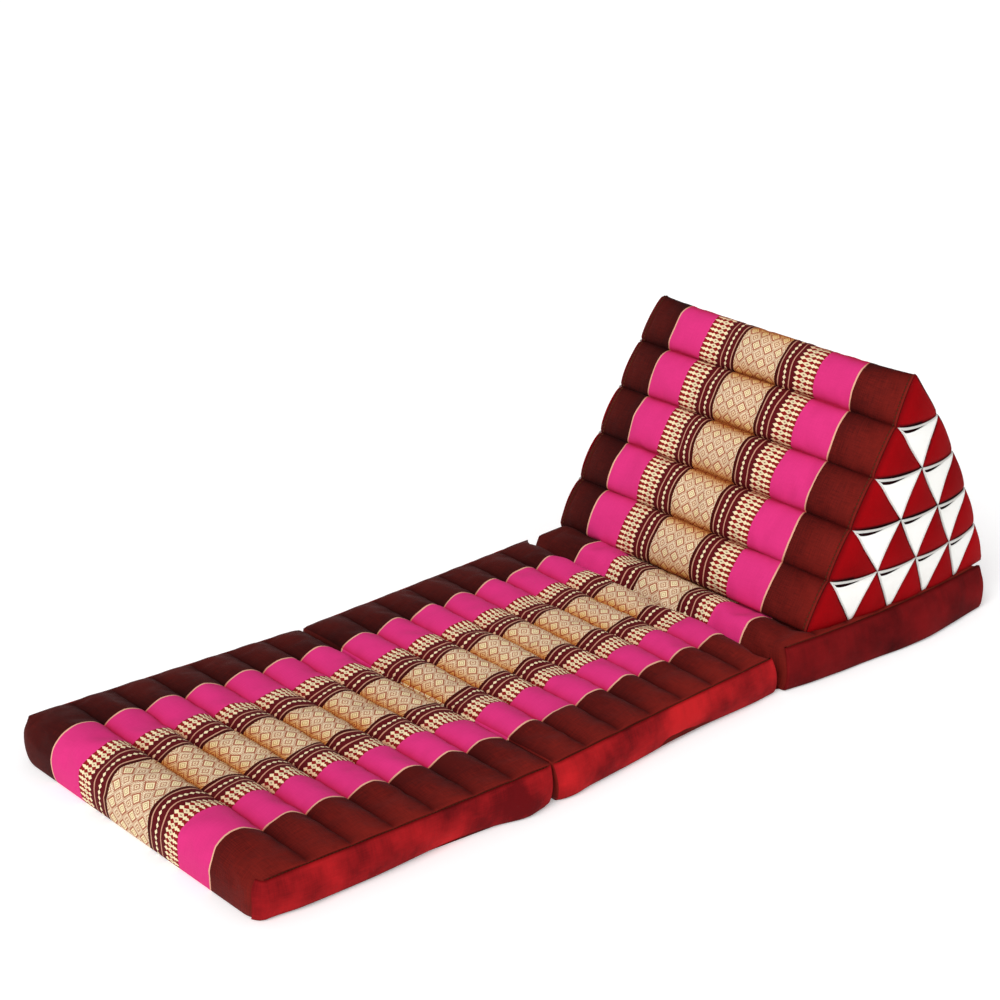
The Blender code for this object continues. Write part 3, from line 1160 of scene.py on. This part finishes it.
        mesh = sleeve(steps, rows, place, marks, closed=False)
        bmesh.ops.recalc_face_normals(mesh, faces=mesh.faces)
        bmesh.ops.solidify(mesh, geom=mesh.faces[:], thickness=BAND_THICKNESS * across)
        name = f"band_{self.name}_{side.label}"
        # The head section's bands get the darker copy of the band cloth, with painted shade.
        cloth = wardrobe.shaded_head_band if self.edge_lift else wardrobe.band
        made = Piece(f"side_{name}", Slot.BAND, (name,), (cloth,)).make(mesh)
        flat = (self.length + first + last, BAND_FLAT_HEIGHT)

    def round_corner(
        self, past: float, height: float, at_end: bool, across: float
    ) -> Point:
        """A point of a band where it goes round a corner of the section.

        Args:
            past: Distance beyond the corner.
            height: Share of the seam's height.
            at_end: Whether the corner is at the section's end, not its start.
            across: -1 for the near band, 1 for the far one.

        Returns:
            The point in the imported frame.
        """
        bulge, number = (self.round_end, ROLLS - 1) if at_end else (self.round_start, 0)
        ends = self.turned_end(bulge, self.rise(number))
        step = height / SEAM_BEND * END_STEPS
        if height > SEAM_BEND:
            step = END_STEPS + (height - SEAM_BEND) / (1 - SEAM_BEND) * TURN_STEPS / 2
        k = min(int(step), len(ends) - 2)
        part, one, two = step - k, ends[k], ends[k + 1]
        full = (mix(one.full[0], two.full[0], part), mix(one.full[1], two.full[1], part))
        seam = (mix(one.seam[0], two.seam[0], part), mix(one.seam[1], two.seam[1], part))
        if at_end:
            full, seam = (self.length - full[0], full[1]), (self.length - seam[0], seam[1])
        station = Station(full, seam, lift=mix(one.lift, two.lift, part))
        x, y, z = self.point(station, across * (1 - past / (MAT_WIDTH / 2)))
        inward = min(1.0, past / (TAPER * MAT_WIDTH / 2))
        ahead = math.sqrt(1 - (1 - inward) ** 2)
        out = CLEARANCE + BAND_THICKNESS
        x += out * ahead * (1 if at_end else -1)
        return x, y + out * (1 - ahead) * across, z

    def add_seam_stitches(self, side: Side, wardrobe: Wardrobe) -> None:
        """Sews the band to the rolls along the top seam."""

        def seam(share: float) -> Vector:
            """A point of the seam."""
            out = (half_width(1.0) + CLEARANCE + 0.5 * BAND_THICKNESS) * side.value
            along = mix(0.006, 0.994, share)
            return Vector(self.place(along, side.value, 1.0, out, SEAM_HEIGHT + CLEARANCE))

        piece = Piece(
            f"seam_stitches_{self.name}_{side.label}", Slot.BAND, (), (wardrobe.thread,)
        )
        piece.make(gather(SEAM_STITCH.row(seam)))

FOOT = MatSection(
    name="foot", start=0.000, end=0.437, sway=(0.000, -0.019), skew=(0.006, 0.010),
    lean=(0.000, -0.008), belly=0.001, near_spread=(0.000, 0.006), far_spread=(0.003, 0.003),
    stripe=(0.005, 0.001), rises=(0.0155, 0.0145), round_start=0.016, round_end=0.0,
    edge_lift=0.0, dents=((0.62, 0.20, -0.010), (0.90, 0.06, 0.005)), seed=1.0,
)
MIDDLE = MatSection(
    name="middle", start=0.444, end=0.906, sway=(-0.019, 0.002), skew=(0.008, -0.003),
    lean=(-0.004, 0.004), belly=-0.001, near_spread=(0.004, 0.006), far_spread=(0.003, 0.010),
    stripe=(-0.001, 0.001), rises=(0.0145, 0.0145), round_start=0.0, round_end=0.003,
    edge_lift=0.0, dents=((0.60, 0.22, -0.007), (0.05, 0.05, 0.004)), seed=2.0,
)
HEAD = MatSection(
    name="head", start=0.920, end=1.395, sway=(0.002, 0.000), skew=(0.000, -0.009),
    lean=(0.008, -0.016), belly=0.012, near_spread=(0.013, 0.020), far_spread=(0.008, 0.003),
    stripe=(0.001, 0.002), rises=(0.012, 0.005), round_start=0.003, round_end=0.009,
    edge_lift=0.0075, dents=((0.62, 0.22, 0.006),), seed=3.0,
)


@dataclass(frozen=True)
class Hinge:
    """A strip of cloth that ties two sections of the mat together."""

    name: str
    before: MatSection
    after: MatSection
    height: float
    reach: float = 0.97
    sag: float = 0.0015
    least_flat: float = 0.010

    def add(self, rolls: list[bpy.types.Object], wardrobe: Wardrobe) -> None:
        """Builds the strip.

        Args:
            rolls: The two filled sections that it is sewn to; not used.
            wardrobe: The finishes.
        """
        low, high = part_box(self.name)
        steps, rows = 4, 60
        share_up = min(1.0, self.height / SEAM_HEIGHT)
        sag = -self.sag if self.height > SEAM_HEIGHT / 2 else 0.5 * self.sag

        def place(step: int, row: int) -> Point:
            """The point at those steps."""
            across = mix(-self.reach, self.reach, row / rows)
            out, share = half_width(1.0) * across, step / steps
            left = self.before.place(1.0, across, share_up, out, self.height)
            right = self.after.place(0.0, across, share_up, out, self.height)
            x = mix(left[0] - 0.001, right[0] + 0.001, share)
            z = self.height + sag * math.sin(math.pi * share)
            return x, mix(left[1], right[1], share), z

        def marks(step: int, row: int) -> Mark:
            """What the cloth there is marked with, as sleeve takes it."""
            across = mix(-self.reach, self.reach, row / rows)
            # The strip is marked as a valley, so it gets painted shade.
            return across * MAT_WIDTH / 2 - self.before.stripe[1], step * 0.003, 0.9

        mesh = sleeve(steps, rows, place, marks, closed=False)
        bmesh.ops.recalc_face_normals(mesh, faces=mesh.faces)
        bmesh.ops.solidify(mesh, geom=mesh.faces[:], thickness=STRIP_THICKNESS)
        piece = Piece(f"strip_{self.name}", Slot.ROLL, (self.name,), (wardrobe.mat_cloth,))
        made = piece.make(mesh)
        width = math.dist(place(0, rows // 2), place(steps, rows // 2))
        max(self.least_flat, width)
        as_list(rolls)


HINGES = (
    Hinge("hinge_foot_middle", FOOT, MIDDLE, 0.0545),
    Hinge("hinge_middle_head", MIDDLE, HEAD, 0.0012),
)


# The backrest

WHITE_THICKNESS = 0.0008


@dataclass
class Backrest:
    """The triangular backrest: five rolls up the front, five down the back, and two ends
    pieced from red and white triangles."""

    front: float = 0.990
    back: float = 1.412
    back_bow: float = 0.014
    apex: float = 1.204
    top: float = 0.414
    base: float = 0.0624
    near: float = -0.243
    far: float = 0.279
    rows: int = 5
    rise: float = 0.0225
    edge_rise: tuple[float, float] = (0.0045, 0.0095)
    edge_cover: float = 0.0008
    near_fall: float = 1.4
    far_fall: float = 0.9
    crown: float = 0.020
    base_crown: float = 0.012
    base_sag: float = 0.004
    base_hang: float = 0.003
    ridge_sag: float = 0.0045
    pull: float = 0.006
    row_pitch: float = 0.082
    valley_width: float = 0.017
    stripe_shift: float = 0.0120
    roll_steps: int = 18
    base_steps: int = 30
    cell_steps: int = 16
    lump: Unevenness = Unevenness(0.0025, 0.07, 11.0)
    crease: Unevenness = Unevenness(0.0022, 0.009, 17.0)
    hem: float = 0.0022
    hem_rise: float = 0.0014
    skin: float = 0.0020
    edge_skin: float = 0.0032
    puff: float = 0.0055
    seam_bow: float = 0.0038
    recess: float = 0.0025
    overhang: float = 0.0026
    lip_widths: tuple[float, float] = (0.0011, 0.0036)
    mouth: float = 0.0064
    white_crease: Unevenness = Unevenness(0.0007, 0.02)
    stitch_inset: float = 0.0052

    @property
    def half(self) -> float:
        """Half the width between the ends."""
        return (self.far - self.near) / 2

    @property
    def drop(self) -> float:
        """Height of the triangle."""
        return self.top - self.base

    @property
    def wide(self) -> float:
        """Width of one triangle of the ends."""
        return (self.back - self.front) / self.rows

    @property
    def tall(self) -> float:
        """Height of one triangle of the ends."""
        return self.drop / self.rows

    @property
    def slant(self) -> float:
        """Columns that a row is shifted by, for a point that moves straight down."""
        return (self.apex - self.front) / (self.back - self.front)

    def valley(self, row: float) -> float:
        """1 on a sewn line, and less away from it."""
        near = min(row % 1.0, 1 - row % 1.0) * self.row_pitch
        return math.exp(-near / self.valley_width)

    def corner(self, row: float, column: float) -> tuple[float, float]:
        """X and Z of a point of the end's triangle, rows down and columns back."""
        down = row / self.rows
        first, last = mix(self.apex, self.front, down), mix(self.apex, self.back, down)
        share = column / row if row > 1e-6 else 0.0
        return mix(first, last, share), mix(self.top, self.base, down)

    def row_and_column(self, x: float, z: float) -> tuple[float, float]:
        """The row and column of a point, the other way round."""
        row = self.rows * (self.top - z) / self.drop
        first = mix(self.apex, self.front, row / self.rows)
        return row, (x - first) / self.wide

    def bow(self, row: float, column: float) -> float:
        """How far a point moves back, so that the back edge bows out."""
        share = column / row if row > 1e-6 else 0.0
        return self.back_bow * math.sin(math.pi * row / self.rows) * share

    def swelling(self, row: float, column: float) -> float:
        """How far an end stands out, 0 round its edges."""
        shares = (column, row - column, self.rows - row)
        product = math.prod(max(0.0, share) * 3 / self.rows for share in shares)
        return self.crown * product**0.6 + self.base_crown * self.at_base(row, column)

    def at_base(self, row: float, column: float) -> float:
        """1 in the middle of an end's lower edge, and less away from it."""
        share = column / row if row > 1e-6 else 0.0
        return max(0.0, 4 * share * (1 - share)) * max(0.0, row / self.rows) ** 4

    def lift(self, row: float, back: bool) -> float:
        """Share of a roll's rise at a row; the back's first roll starts off flat."""
        turn = 2 * (row % 1.0) - 1
        full = max(0.0, 1 - turn * turn) ** 0.4
        return full * mix(0.22, 1.0, ramp(row, 0.2, 1.4)) if back else full

    def slope(self, back: bool) -> tuple[float, float]:
        """The outward direction of the front or the back, in X and Z."""
        run = self.back - self.apex if back else self.front - self.apex
        length = math.hypot(run, self.drop)
        return math.copysign(self.drop, run) / length, abs(run) / length

    def stations(self) -> list[tuple[float, float, float, float, bool]]:
        """Steps round the backrest as (row, column share, roll lift, valley, floor): up the
        front from its base, down the back, and along the base."""
        found = []
        for back in (False, True):
            for number in range(self.rows):
                for k in range(self.roll_steps):
                    turn = math.pi * k / self.roll_steps
                    phase = number + (1 - math.cos(turn)) / 2
                    row = phase if back else self.rows - phase
                    lift = self.lift(phase if back else -phase, back)
                    found.append((row, float(back), lift, self.valley(phase), False))
        for k in range(self.base_steps + 1):
            share = 1 - k / self.base_steps
            found.append((float(self.rows), share, 0.0, 0.0, 0 < k < self.base_steps))
        return found

    def surface(self, row: float, share: float, lift: float, across: float) -> Point:
        """A point of the filled roll surface.

        Args:
            row: Rows down from the apex.
            share: 0 on the front, 1 on the back, between on the base.
            lift: Share of a roll's rise.
            across: -1 at the near end, 1 at the far one.

        Returns:
            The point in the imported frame.
        """
        x, z = self.corner(row, share * row)
        full = (1 - across * across) ** (self.near_fall if across < 0 else self.far_fall)
        rise = mix(mix(*self.edge_rise, (across + 1) / 2), self.rise, full) * lift
        right, up = self.slope(share > 0.5)
        out, sewn = across * self.half, self.valley(row) ** 3
        rise += self.lump.at(row * self.row_pitch + share, out, 0.0) * full * lift
        if lift > 0:
            creased = sewn * (1 - sewn) * 4 * min(1.0, 8 * full)
            rise += self.crease.at(row * 0.05, out, share) * creased
            inward = (1 - abs(across)) * self.half
            rise += self.hem_rise * math.exp(-(((inward - self.hem) / self.hem) ** 2))
        z -= self.ridge_sag * (1 - across**4) * max(0.0, 1 - 1.6 * row)
        drawn = self.pull * max(0.0, 1 - row)
        y = self.near + self.half + across * (self.half - drawn)
        return GROUND.at(x + self.bow(row, share * row) + right * rise, y, z + up * rise)

    def add_rolls(self, wardrobe: Wardrobe) -> bpy.types.Object:
        """Builds the filled body."""
        stations = self.stations()
        columns = spread_steps(104, 0.09, 10)
        centre = [self.surface(*station[:3], 0.0) for station in stations]
        lengths = [0.0]
        for before, after in zip(centre, centre[1:]):
            lengths.append(lengths[-1] + math.dist(before, after))

        def place(step: int, column: int) -> Point:
            """The point at those steps."""
            return self.surface(*stations[step][:3], columns[column])

        def marks(step: int, column: int) -> Mark:
            """What the cloth there is marked with, as sleeve takes it."""
            across = columns[column]
            # The valley mark sets where shade is painted, strongest on the sewn lines.
            valley = stations[step][3] * taper(across, 0.03)
            held = float(stations[step][2] < 1e-6 or abs(across) > 0.955)
            return across * self.half - self.stripe_shift, lengths[step], valley, held

        mesh = sleeve(len(stations) - 1, len(columns) - 1, place, marks)
        uv = mesh.loops.layers.uv[UV_NAME]
        floor_start = lengths[next(k for k, s in enumerate(stations) if s[4]) - 1]
        for face in mesh.faces:
            start = max(loop[uv].uv.y for loop in face.loops)
            if start > floor_start + 1e-5 or len(face.verts) > 4:
                face.material_index = 1
        piece = Piece(
            "rolls_backrest", Slot.ROLL, ("wedge",), (wardrobe.wedge_cloth, wardrobe.maroon)
        )
        made = piece.make(mesh)
        FILLING.settle(made)
        return made

    def lattice(self, steps: int) -> bmesh.types.BMesh:
        """The end's triangle in the plane Y = 0, in triangles of 1/steps of a row."""
        mesh = bmesh.new()
        mesh.loops.layers.uv.new(UV_NAME)
        mesh.verts.layers.float.new(VALLEY_NAME)
        corners = ((0, 0), (self.rows, 0), (self.rows, self.rows))
        places = [self.corner(row, column) for row, column in corners]
        mesh.faces.new([mesh.verts.new((x, 0.0, z)) for x, z in places])
        cuts = self.rows * steps - 1
        bmesh.ops.subdivide_edges(mesh, edges=mesh.edges[:], cuts=cuts, use_grid_fill=True)
        return mesh

    def end_point(
        self, row: float, column: float, side: Side, out: float
    ) -> Point:
        """A point `out` away from the filled end.

        Args:
            row: Rows down from the apex.
            column: Columns back from the front edge.
            side: Which end.
            out: Distance from the filled body.

        Returns:
            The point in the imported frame.
        """
        x, z = self.corner(row, column)
        edge = self.far if side is Side.FAR else self.near
        drawn = self.pull * max(0.0, 1 - row)
        y = edge + side.value * (self.swelling(row, column) - drawn + out)
        share = column / row if row > 1e-6 else 0.0
        edge_rise = self.edge_rise[side.index] + self.edge_cover
        lift = self.lift(row, share > 0.5) * edge_rise
        front, back = max(0.0, 1 - 6 * share), max(0.0, 6 * share - 5)
        right, up = self.slope(share > 0.5)
        lift *= max(front, back) if row < self.rows - 1e-6 else 0.0
        z -= self.base_sag * self.at_base(row, column)
        z -= self.base_hang * ramp(row, self.rows - 0.5, self.rows)
        inside = ramp(column, 0.0, 0.5) * ramp(row - column, 0.0, 0.5)
        x -= self.seam_bow * 4 * (row % 1.0) * (1 - row % 1.0) * inside
        return GROUND.at(x + self.bow(row, column) + right * lift, y, z + up * lift)

    def cell(self, row: float, column: float) -> tuple[float, bool]:
        """(product of the three shares of a cell, 1 in its middle; whether it is upright)."""
        down, over = row % 1.0, column % 1.0
        upright = over <= down
        shares = (over, down - over, 1 - down) if upright else (over - down, 1 - over, down)
        return math.prod(3 * max(0.0, share) for share in shares), upright

    def add_end(self, side: Side, rolls: bpy.types.Object, wardrobe: Wardrobe) -> bpy.types.Object:
        """Builds a red end, its upright triangles padded and the others drawn in."""
        mesh = self.lattice(self.cell_steps)
        uv = mesh.loops.layers.uv[UV_NAME]
        valley = mesh.verts.layers.float[VALLEY_NAME]
        for face in mesh.faces:
            for loop in face.loops:
                loop[uv].uv = (loop.vert.co.x, loop.vert.co.z)
        for vert in mesh.verts:
            row, column = self.row_and_column(vert.co.x, vert.co.z)
            product, upright = self.cell(min(row + 1e-7, self.rows - 1e-7), max(column, 0.0))
            out = self.puff * product**0.6 if upright else -self.recess * product**0.35
            vert.co = self.end_point(row, column, side, self.skin + out)
            # Painted shade: the rims of the padded triangles, and all the cloth behind the white
            # triangles.
            vert[valley] = 0.35 * math.exp(-product / 0.03) if upright else 1.0
        bmesh.ops.recalc_face_normals(mesh, faces=mesh.faces)
        bmesh.ops.solidify(mesh, geom=mesh.faces[:], thickness=STRIP_THICKNESS)
        name = f"end_{side.label}"
        made = Piece(f"pieced_{name}", Slot.END, (name,), (wardrobe.end,)).make(mesh)
        base = self.back - self.front
        self.drop
        0.5 * base * self.drop
        return made

    def add_whites(self, side: Side, wardrobe: Wardrobe) -> None:
        """Builds the white triangles of one end, and the turned edges round them."""
        cells = [(r, c) for r in range(1, self.rows) for c in range(1, r + 1)]
        triangles = gather([self.white_triangle(*cell, side) for cell in cells])
        names = tuple(f"pocket_{side.label}_{k + 1}" for k in range(len(cells)))
        piece = Piece(f"white_triangles_{side.label}", Slot.WHITE, names, (wardrobe.white,))
        made = piece.make(triangles)
        self.tall
        len(cells) * self.wide * self.tall / 2
        edges = [self.turned_edge(*cell, side) for cell in cells]
        edges += [self.side_fold(*cell, side) for cell in cells]
        names = tuple(f"lip_{side.label}_{row}" for row in range(1, self.rows))
        piece = Piece(f"turned_edges_{side.label}", Slot.WHITE, names, (wardrobe.white,))
        made = piece.make(gather(edges))

    def sag(self, share: float) -> float:
        """How far the padded triangle above hangs over the seam of a white one."""
        return self.overhang * max(0.0, math.sin(math.pi * share)) ** 0.8

    def lip(self, share: float) -> float:
        """Width of the turned edge at a share of the seam: wide at the left."""
        least, more = self.lip_widths
        return least + more * (1 - share) ** 0.6

    def gape(self, share: float) -> float:
        """How far the mouth under the turned edge stands open."""
        inside = min(1.0, max(0.0, (share - 0.03) / 0.66))
        return self.mouth * max(0.0, math.sin(math.pi * inside**0.55)) ** 0.8

    def white_triangle(self, row: int, column: int, side: Side) -> bmesh.types.BMesh:
        """Makes one white inverted triangle, open along its top seam.

        Args:
            row: The row whose seam it hangs from.
            column: Its number in the row.
            side: Which end.

        Returns:
            The mesh.
        """
        mesh = bmesh.new()
        uv = mesh.loops.layers.uv.new(UV_NAME)
        mesh.verts.layers.float.new(VALLEY_NAME)
        corners = ((row, column - 1), (row, column), (row + 1, column))
        places = [self.corner(*corner) for corner in corners]
        mesh.faces.new([mesh.verts.new((x, 0.0, z)) for x, z in places])
        bmesh.ops.subdivide_edges(
            mesh, edges=mesh.edges[:], cuts=self.cell_steps - 1, use_grid_fill=True
        )
        for face in mesh.faces:
            for loop in face.loops:
                loop[uv].uv = (loop.vert.co.x, loop.vert.co.z)
        for vert in mesh.verts:
            r, c = self.row_and_column(vert.co.x, vert.co.z)
            down, over = r - row, min(1.0, max(0.0, c - (column - 1)))
            product = max(0.0, 27 * (over - down) * (1 - over) * down)
            at_seam = 1 - ramp(down, 0.0, 0.30)
            share = min(1.0, max(0.0, (over - down) / max(1e-6, 1 - down)))
            opening = self.sag(share) + 0.7 * self.lip(share) + self.gape(share)
            shift = opening / self.tall * at_seam * min(1.0, (1 - down) * 1.5)
            shift *= min(1.0, 8 * share) * min(1.0, 8 * (1 - share))
            out = 0.0008 - 0.0005 * product**0.5 - 0.0003 * at_seam
            crease = self.white_crease.at(vert.co.x, vert.co.z, 5.0 * row + column)
            out += crease * product**0.5
            vert.co = self.end_point(r + shift, c + shift * self.slant, side, self.skin + out)
        bmesh.ops.recalc_face_normals(mesh, faces=mesh.faces)
        bmesh.ops.solidify(mesh, geom=mesh.faces[:], thickness=WHITE_THICKNESS)
        return mesh

    def turned_edge(self, row: int, column: int, side: Side) -> bmesh.types.BMesh:
        """Makes the turned white edge along the top seam of a white triangle."""
        around, along = 8, 26

        def place(step: int, run: int) -> Point:
            """The point at those steps."""
            share = mix(0.004, 0.996, run / along)
            end = min(1.0, 14 * share) * min(1.0, 10 * (1 - share))
            width = 0.5 * self.lip(share) * mix(0.25, 1.0, end)
            turn = 2 * math.pi * step / around
            down = self.sag(share) + width + math.cos(turn) * width
            up = 0.0019 * mix(0.4, 1.0, end * (1 - 0.4 * share)) * math.sin(turn)
            below = down / self.tall
            c = column - 1 + share + self.slant * below
            return self.end_point(row + below, c, side, self.edge_skin + up)

        def marks(step: int, run: int) -> Mark:
            """What the cloth there is marked with, as sleeve takes it."""
            # Marked as a valley, so the turned edge is painted grey with shade.
            return run / along * self.wide, step * 0.001, 0.80

        return sleeve(around, along, place, marks)

    def side_fold(self, row: int, column: int, side: Side) -> bmesh.types.BMesh:
        """Makes the narrow fold down the front side of a white triangle."""
        around, along = 6, 24

        def place(step: int, run: int) -> Point:
            """The point at those steps."""
            share = mix(0.03, 0.985, run / along)
            end = min(1.0, 8 * share) * min(1.0, 3 * (1 - share))
            width = 0.0012 * mix(0.3, 1.0, end)
            turn = 2 * math.pi * step / around
            over = (1.1 + math.cos(turn)) * width / self.wide
            up = 0.0011 * mix(0.4, 1.0, end) * math.sin(turn)
            return self.end_point(row + share, column - 1 + share + over, side, self.edge_skin + up)

        def marks(step: int, run: int) -> Mark:
            """What the cloth there is marked with, as sleeve takes it."""
            # Marked as a valley, so the fold is painted grey with shade.
            return run / along * self.wide, step * 0.001, 0.60

        return sleeve(around, along, place, marks)

    def add_end_stitches(self, side: Side, wardrobe: Wardrobe) -> None:
        """Sews the end to the rolls: long dark stitches a little in from its edges."""
        across = side.value * (1 - self.stitch_inset / self.half)

        def front_edge(along: float) -> Vector:
            """A point beside the front's edge."""
            row = mix(0.03, self.rows - 0.03, along)
            return Vector(self.surface(row, 0.0, self.lift(row, False), across))

        def back_edge(along: float) -> Vector:
            """A point beside the back's edge."""
            row = mix(0.03, self.rows - 0.03, along)
            return Vector(self.surface(row, 1.0, self.lift(row, True), across))

        rows = END_STITCH.row(front_edge) + END_STITCH.row(back_edge)
        piece = Piece(f"end_stitches_{side.label}", Slot.END, (), (wardrobe.thread,))
        piece.make(gather(rows))


# The studio


@dataclass(frozen=True)
class Floor:
    """The pale floor, which glows a little so that it stays pale in the shade."""

    reach: float = 80.0
    height: float = -0.0006
    colour: Colour = (0.93, 0.93, 0.93)
    roughness: float = 0.9
    glow: float = 0.22

    def material(self) -> bpy.types.Material:
        """Builds the material."""
        board = Board("floor")
        inputs = board.shader.inputs
        inputs["Base Color"].default_value = solid(self.colour)
        inputs["Roughness"].default_value = self.roughness
        inputs["Specular IOR Level"].default_value = 0.1
        inputs["Emission Color"].default_value = (1.0, 1.0, 1.0, 1.0)
        inputs["Emission Strength"].default_value = self.glow
        return board.material

    def add(self) -> None:
        """Lays the floor."""
        mesh = bmesh.new()
        bmesh.ops.create_grid(mesh, x_segments=1, y_segments=1, size=self.reach)
        bmesh.ops.translate(mesh, verts=mesh.verts, vec=(0.0, 0.0, self.height))
        data = bpy.data.meshes.new("floor")
        mesh.to_mesh(data)
        mesh.free()
        data.materials.append(self.material())
        floor = bpy.data.objects.new("floor", data)
        bpy.context.scene.collection.objects.link(floor)
        floor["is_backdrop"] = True


@dataclass(frozen=True)
class Sun:
    """An even, soft light. Its angle is its apparent size in degrees, for soft shadows."""

    name: str
    place: Point
    strength: float
    angle: float

    def add(self) -> None:
        """Adds the light, shining from its place towards the origin."""
        data = bpy.data.lights.new(self.name, "SUN")
        data.energy = self.strength
        data.angle = math.radians(self.angle)
        light = bpy.data.objects.new(self.name, data)
        bpy.context.scene.collection.objects.link(light)
        light.matrix_world = Vector(self.place).to_track_quat("Z", "Y").to_matrix().to_4x4()


@dataclass(frozen=True)
class Studio:
    """The camera and the soft lights."""

    azimuth: float = -42.0209
    elevation: float = 22.458
    roll: float = 0.935
    distance: float = 3.4073
    target: tuple[float, float, float] = (0.9216, 0.3562, 0.1)
    lens: float = 74.917
    sensor: float = 36.0
    clip_end: float = 100.0
    suns: tuple[Sun, ...] = (
        Sun("key", (-0.80, -0.30, 0.75), 2.0, 38.0),
        Sun("fill", (-0.10, -1.00, 0.30), 0.55, 50.0),
    )
    daylight: float = 0.48

    def add_camera(self) -> None:
        """Sets up the camera."""
        data = bpy.data.cameras.new("camera")
        data.lens = self.lens
        data.sensor_width = self.sensor
        data.clip_end = self.clip_end
        camera = bpy.data.objects.new("camera", data)
        bpy.context.scene.collection.objects.link(camera)
        turn = Matrix.Rotation(math.radians(self.azimuth), 4, "Z")
        tilt = Matrix.Rotation(math.radians(90 - self.elevation), 4, "X")
        roll = Matrix.Rotation(math.radians(self.roll), 4, "Z")
        back = Matrix.Translation((0.0, 0.0, self.distance))
        centre = Matrix.Translation(GROUND.at(*self.target))
        camera.matrix_world = centre @ turn @ tilt @ roll @ back
        bpy.context.scene.camera = camera

    def add_lights(self) -> None:
        """Lights the scene evenly, with a key from the foot's side."""
        world = bpy.data.worlds.new("studio")
        world.use_nodes = True
        background = world.node_tree.nodes["Background"]
        background.inputs["Color"].default_value = (1.0, 1.0, 1.0, 1.0)
        background.inputs["Strength"].default_value = self.daylight
        bpy.context.scene.world = world
        for sun in self.suns:
            sun.add()
        bpy.context.scene.view_settings.view_transform = "Standard"


def main() -> None:
    """Builds the pieces in order."""
    logging.basicConfig(level=logging.INFO, format="%(message)s")
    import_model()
    cad_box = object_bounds()
    GROUND.measure()
    wardrobe = Wardrobe()
    studio = Studio()
    studio.add_camera()
    studio.add_lights()
    Floor().add()
    sections = (FOOT, MIDDLE, HEAD)
    rolls = [section.add_rolls(wardrobe) for section in sections]
    for section, body in zip(sections, rolls):
        for side in Side:
            section.add_band(side, body, wardrobe)
            section.add_seam_stitches(side, wardrobe)
    for k, hinge in enumerate(HINGES):
        hinge.add(rolls[k:k + 2], wardrobe)
    backrest = Backrest()
    body = backrest.add_rolls(wardrobe)
    for side in Side:
        end = backrest.add_end(side, body, wardrobe)
        backrest.add_whites(side, wardrobe)
        backrest.add_end_stitches(side, wardrobe)
    boxes = {"cad": cad_box, "visual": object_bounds()}
    {key: [list(corner) for corner in box] for key, box in boxes.items()}


if __name__ == "__main__":
    main()
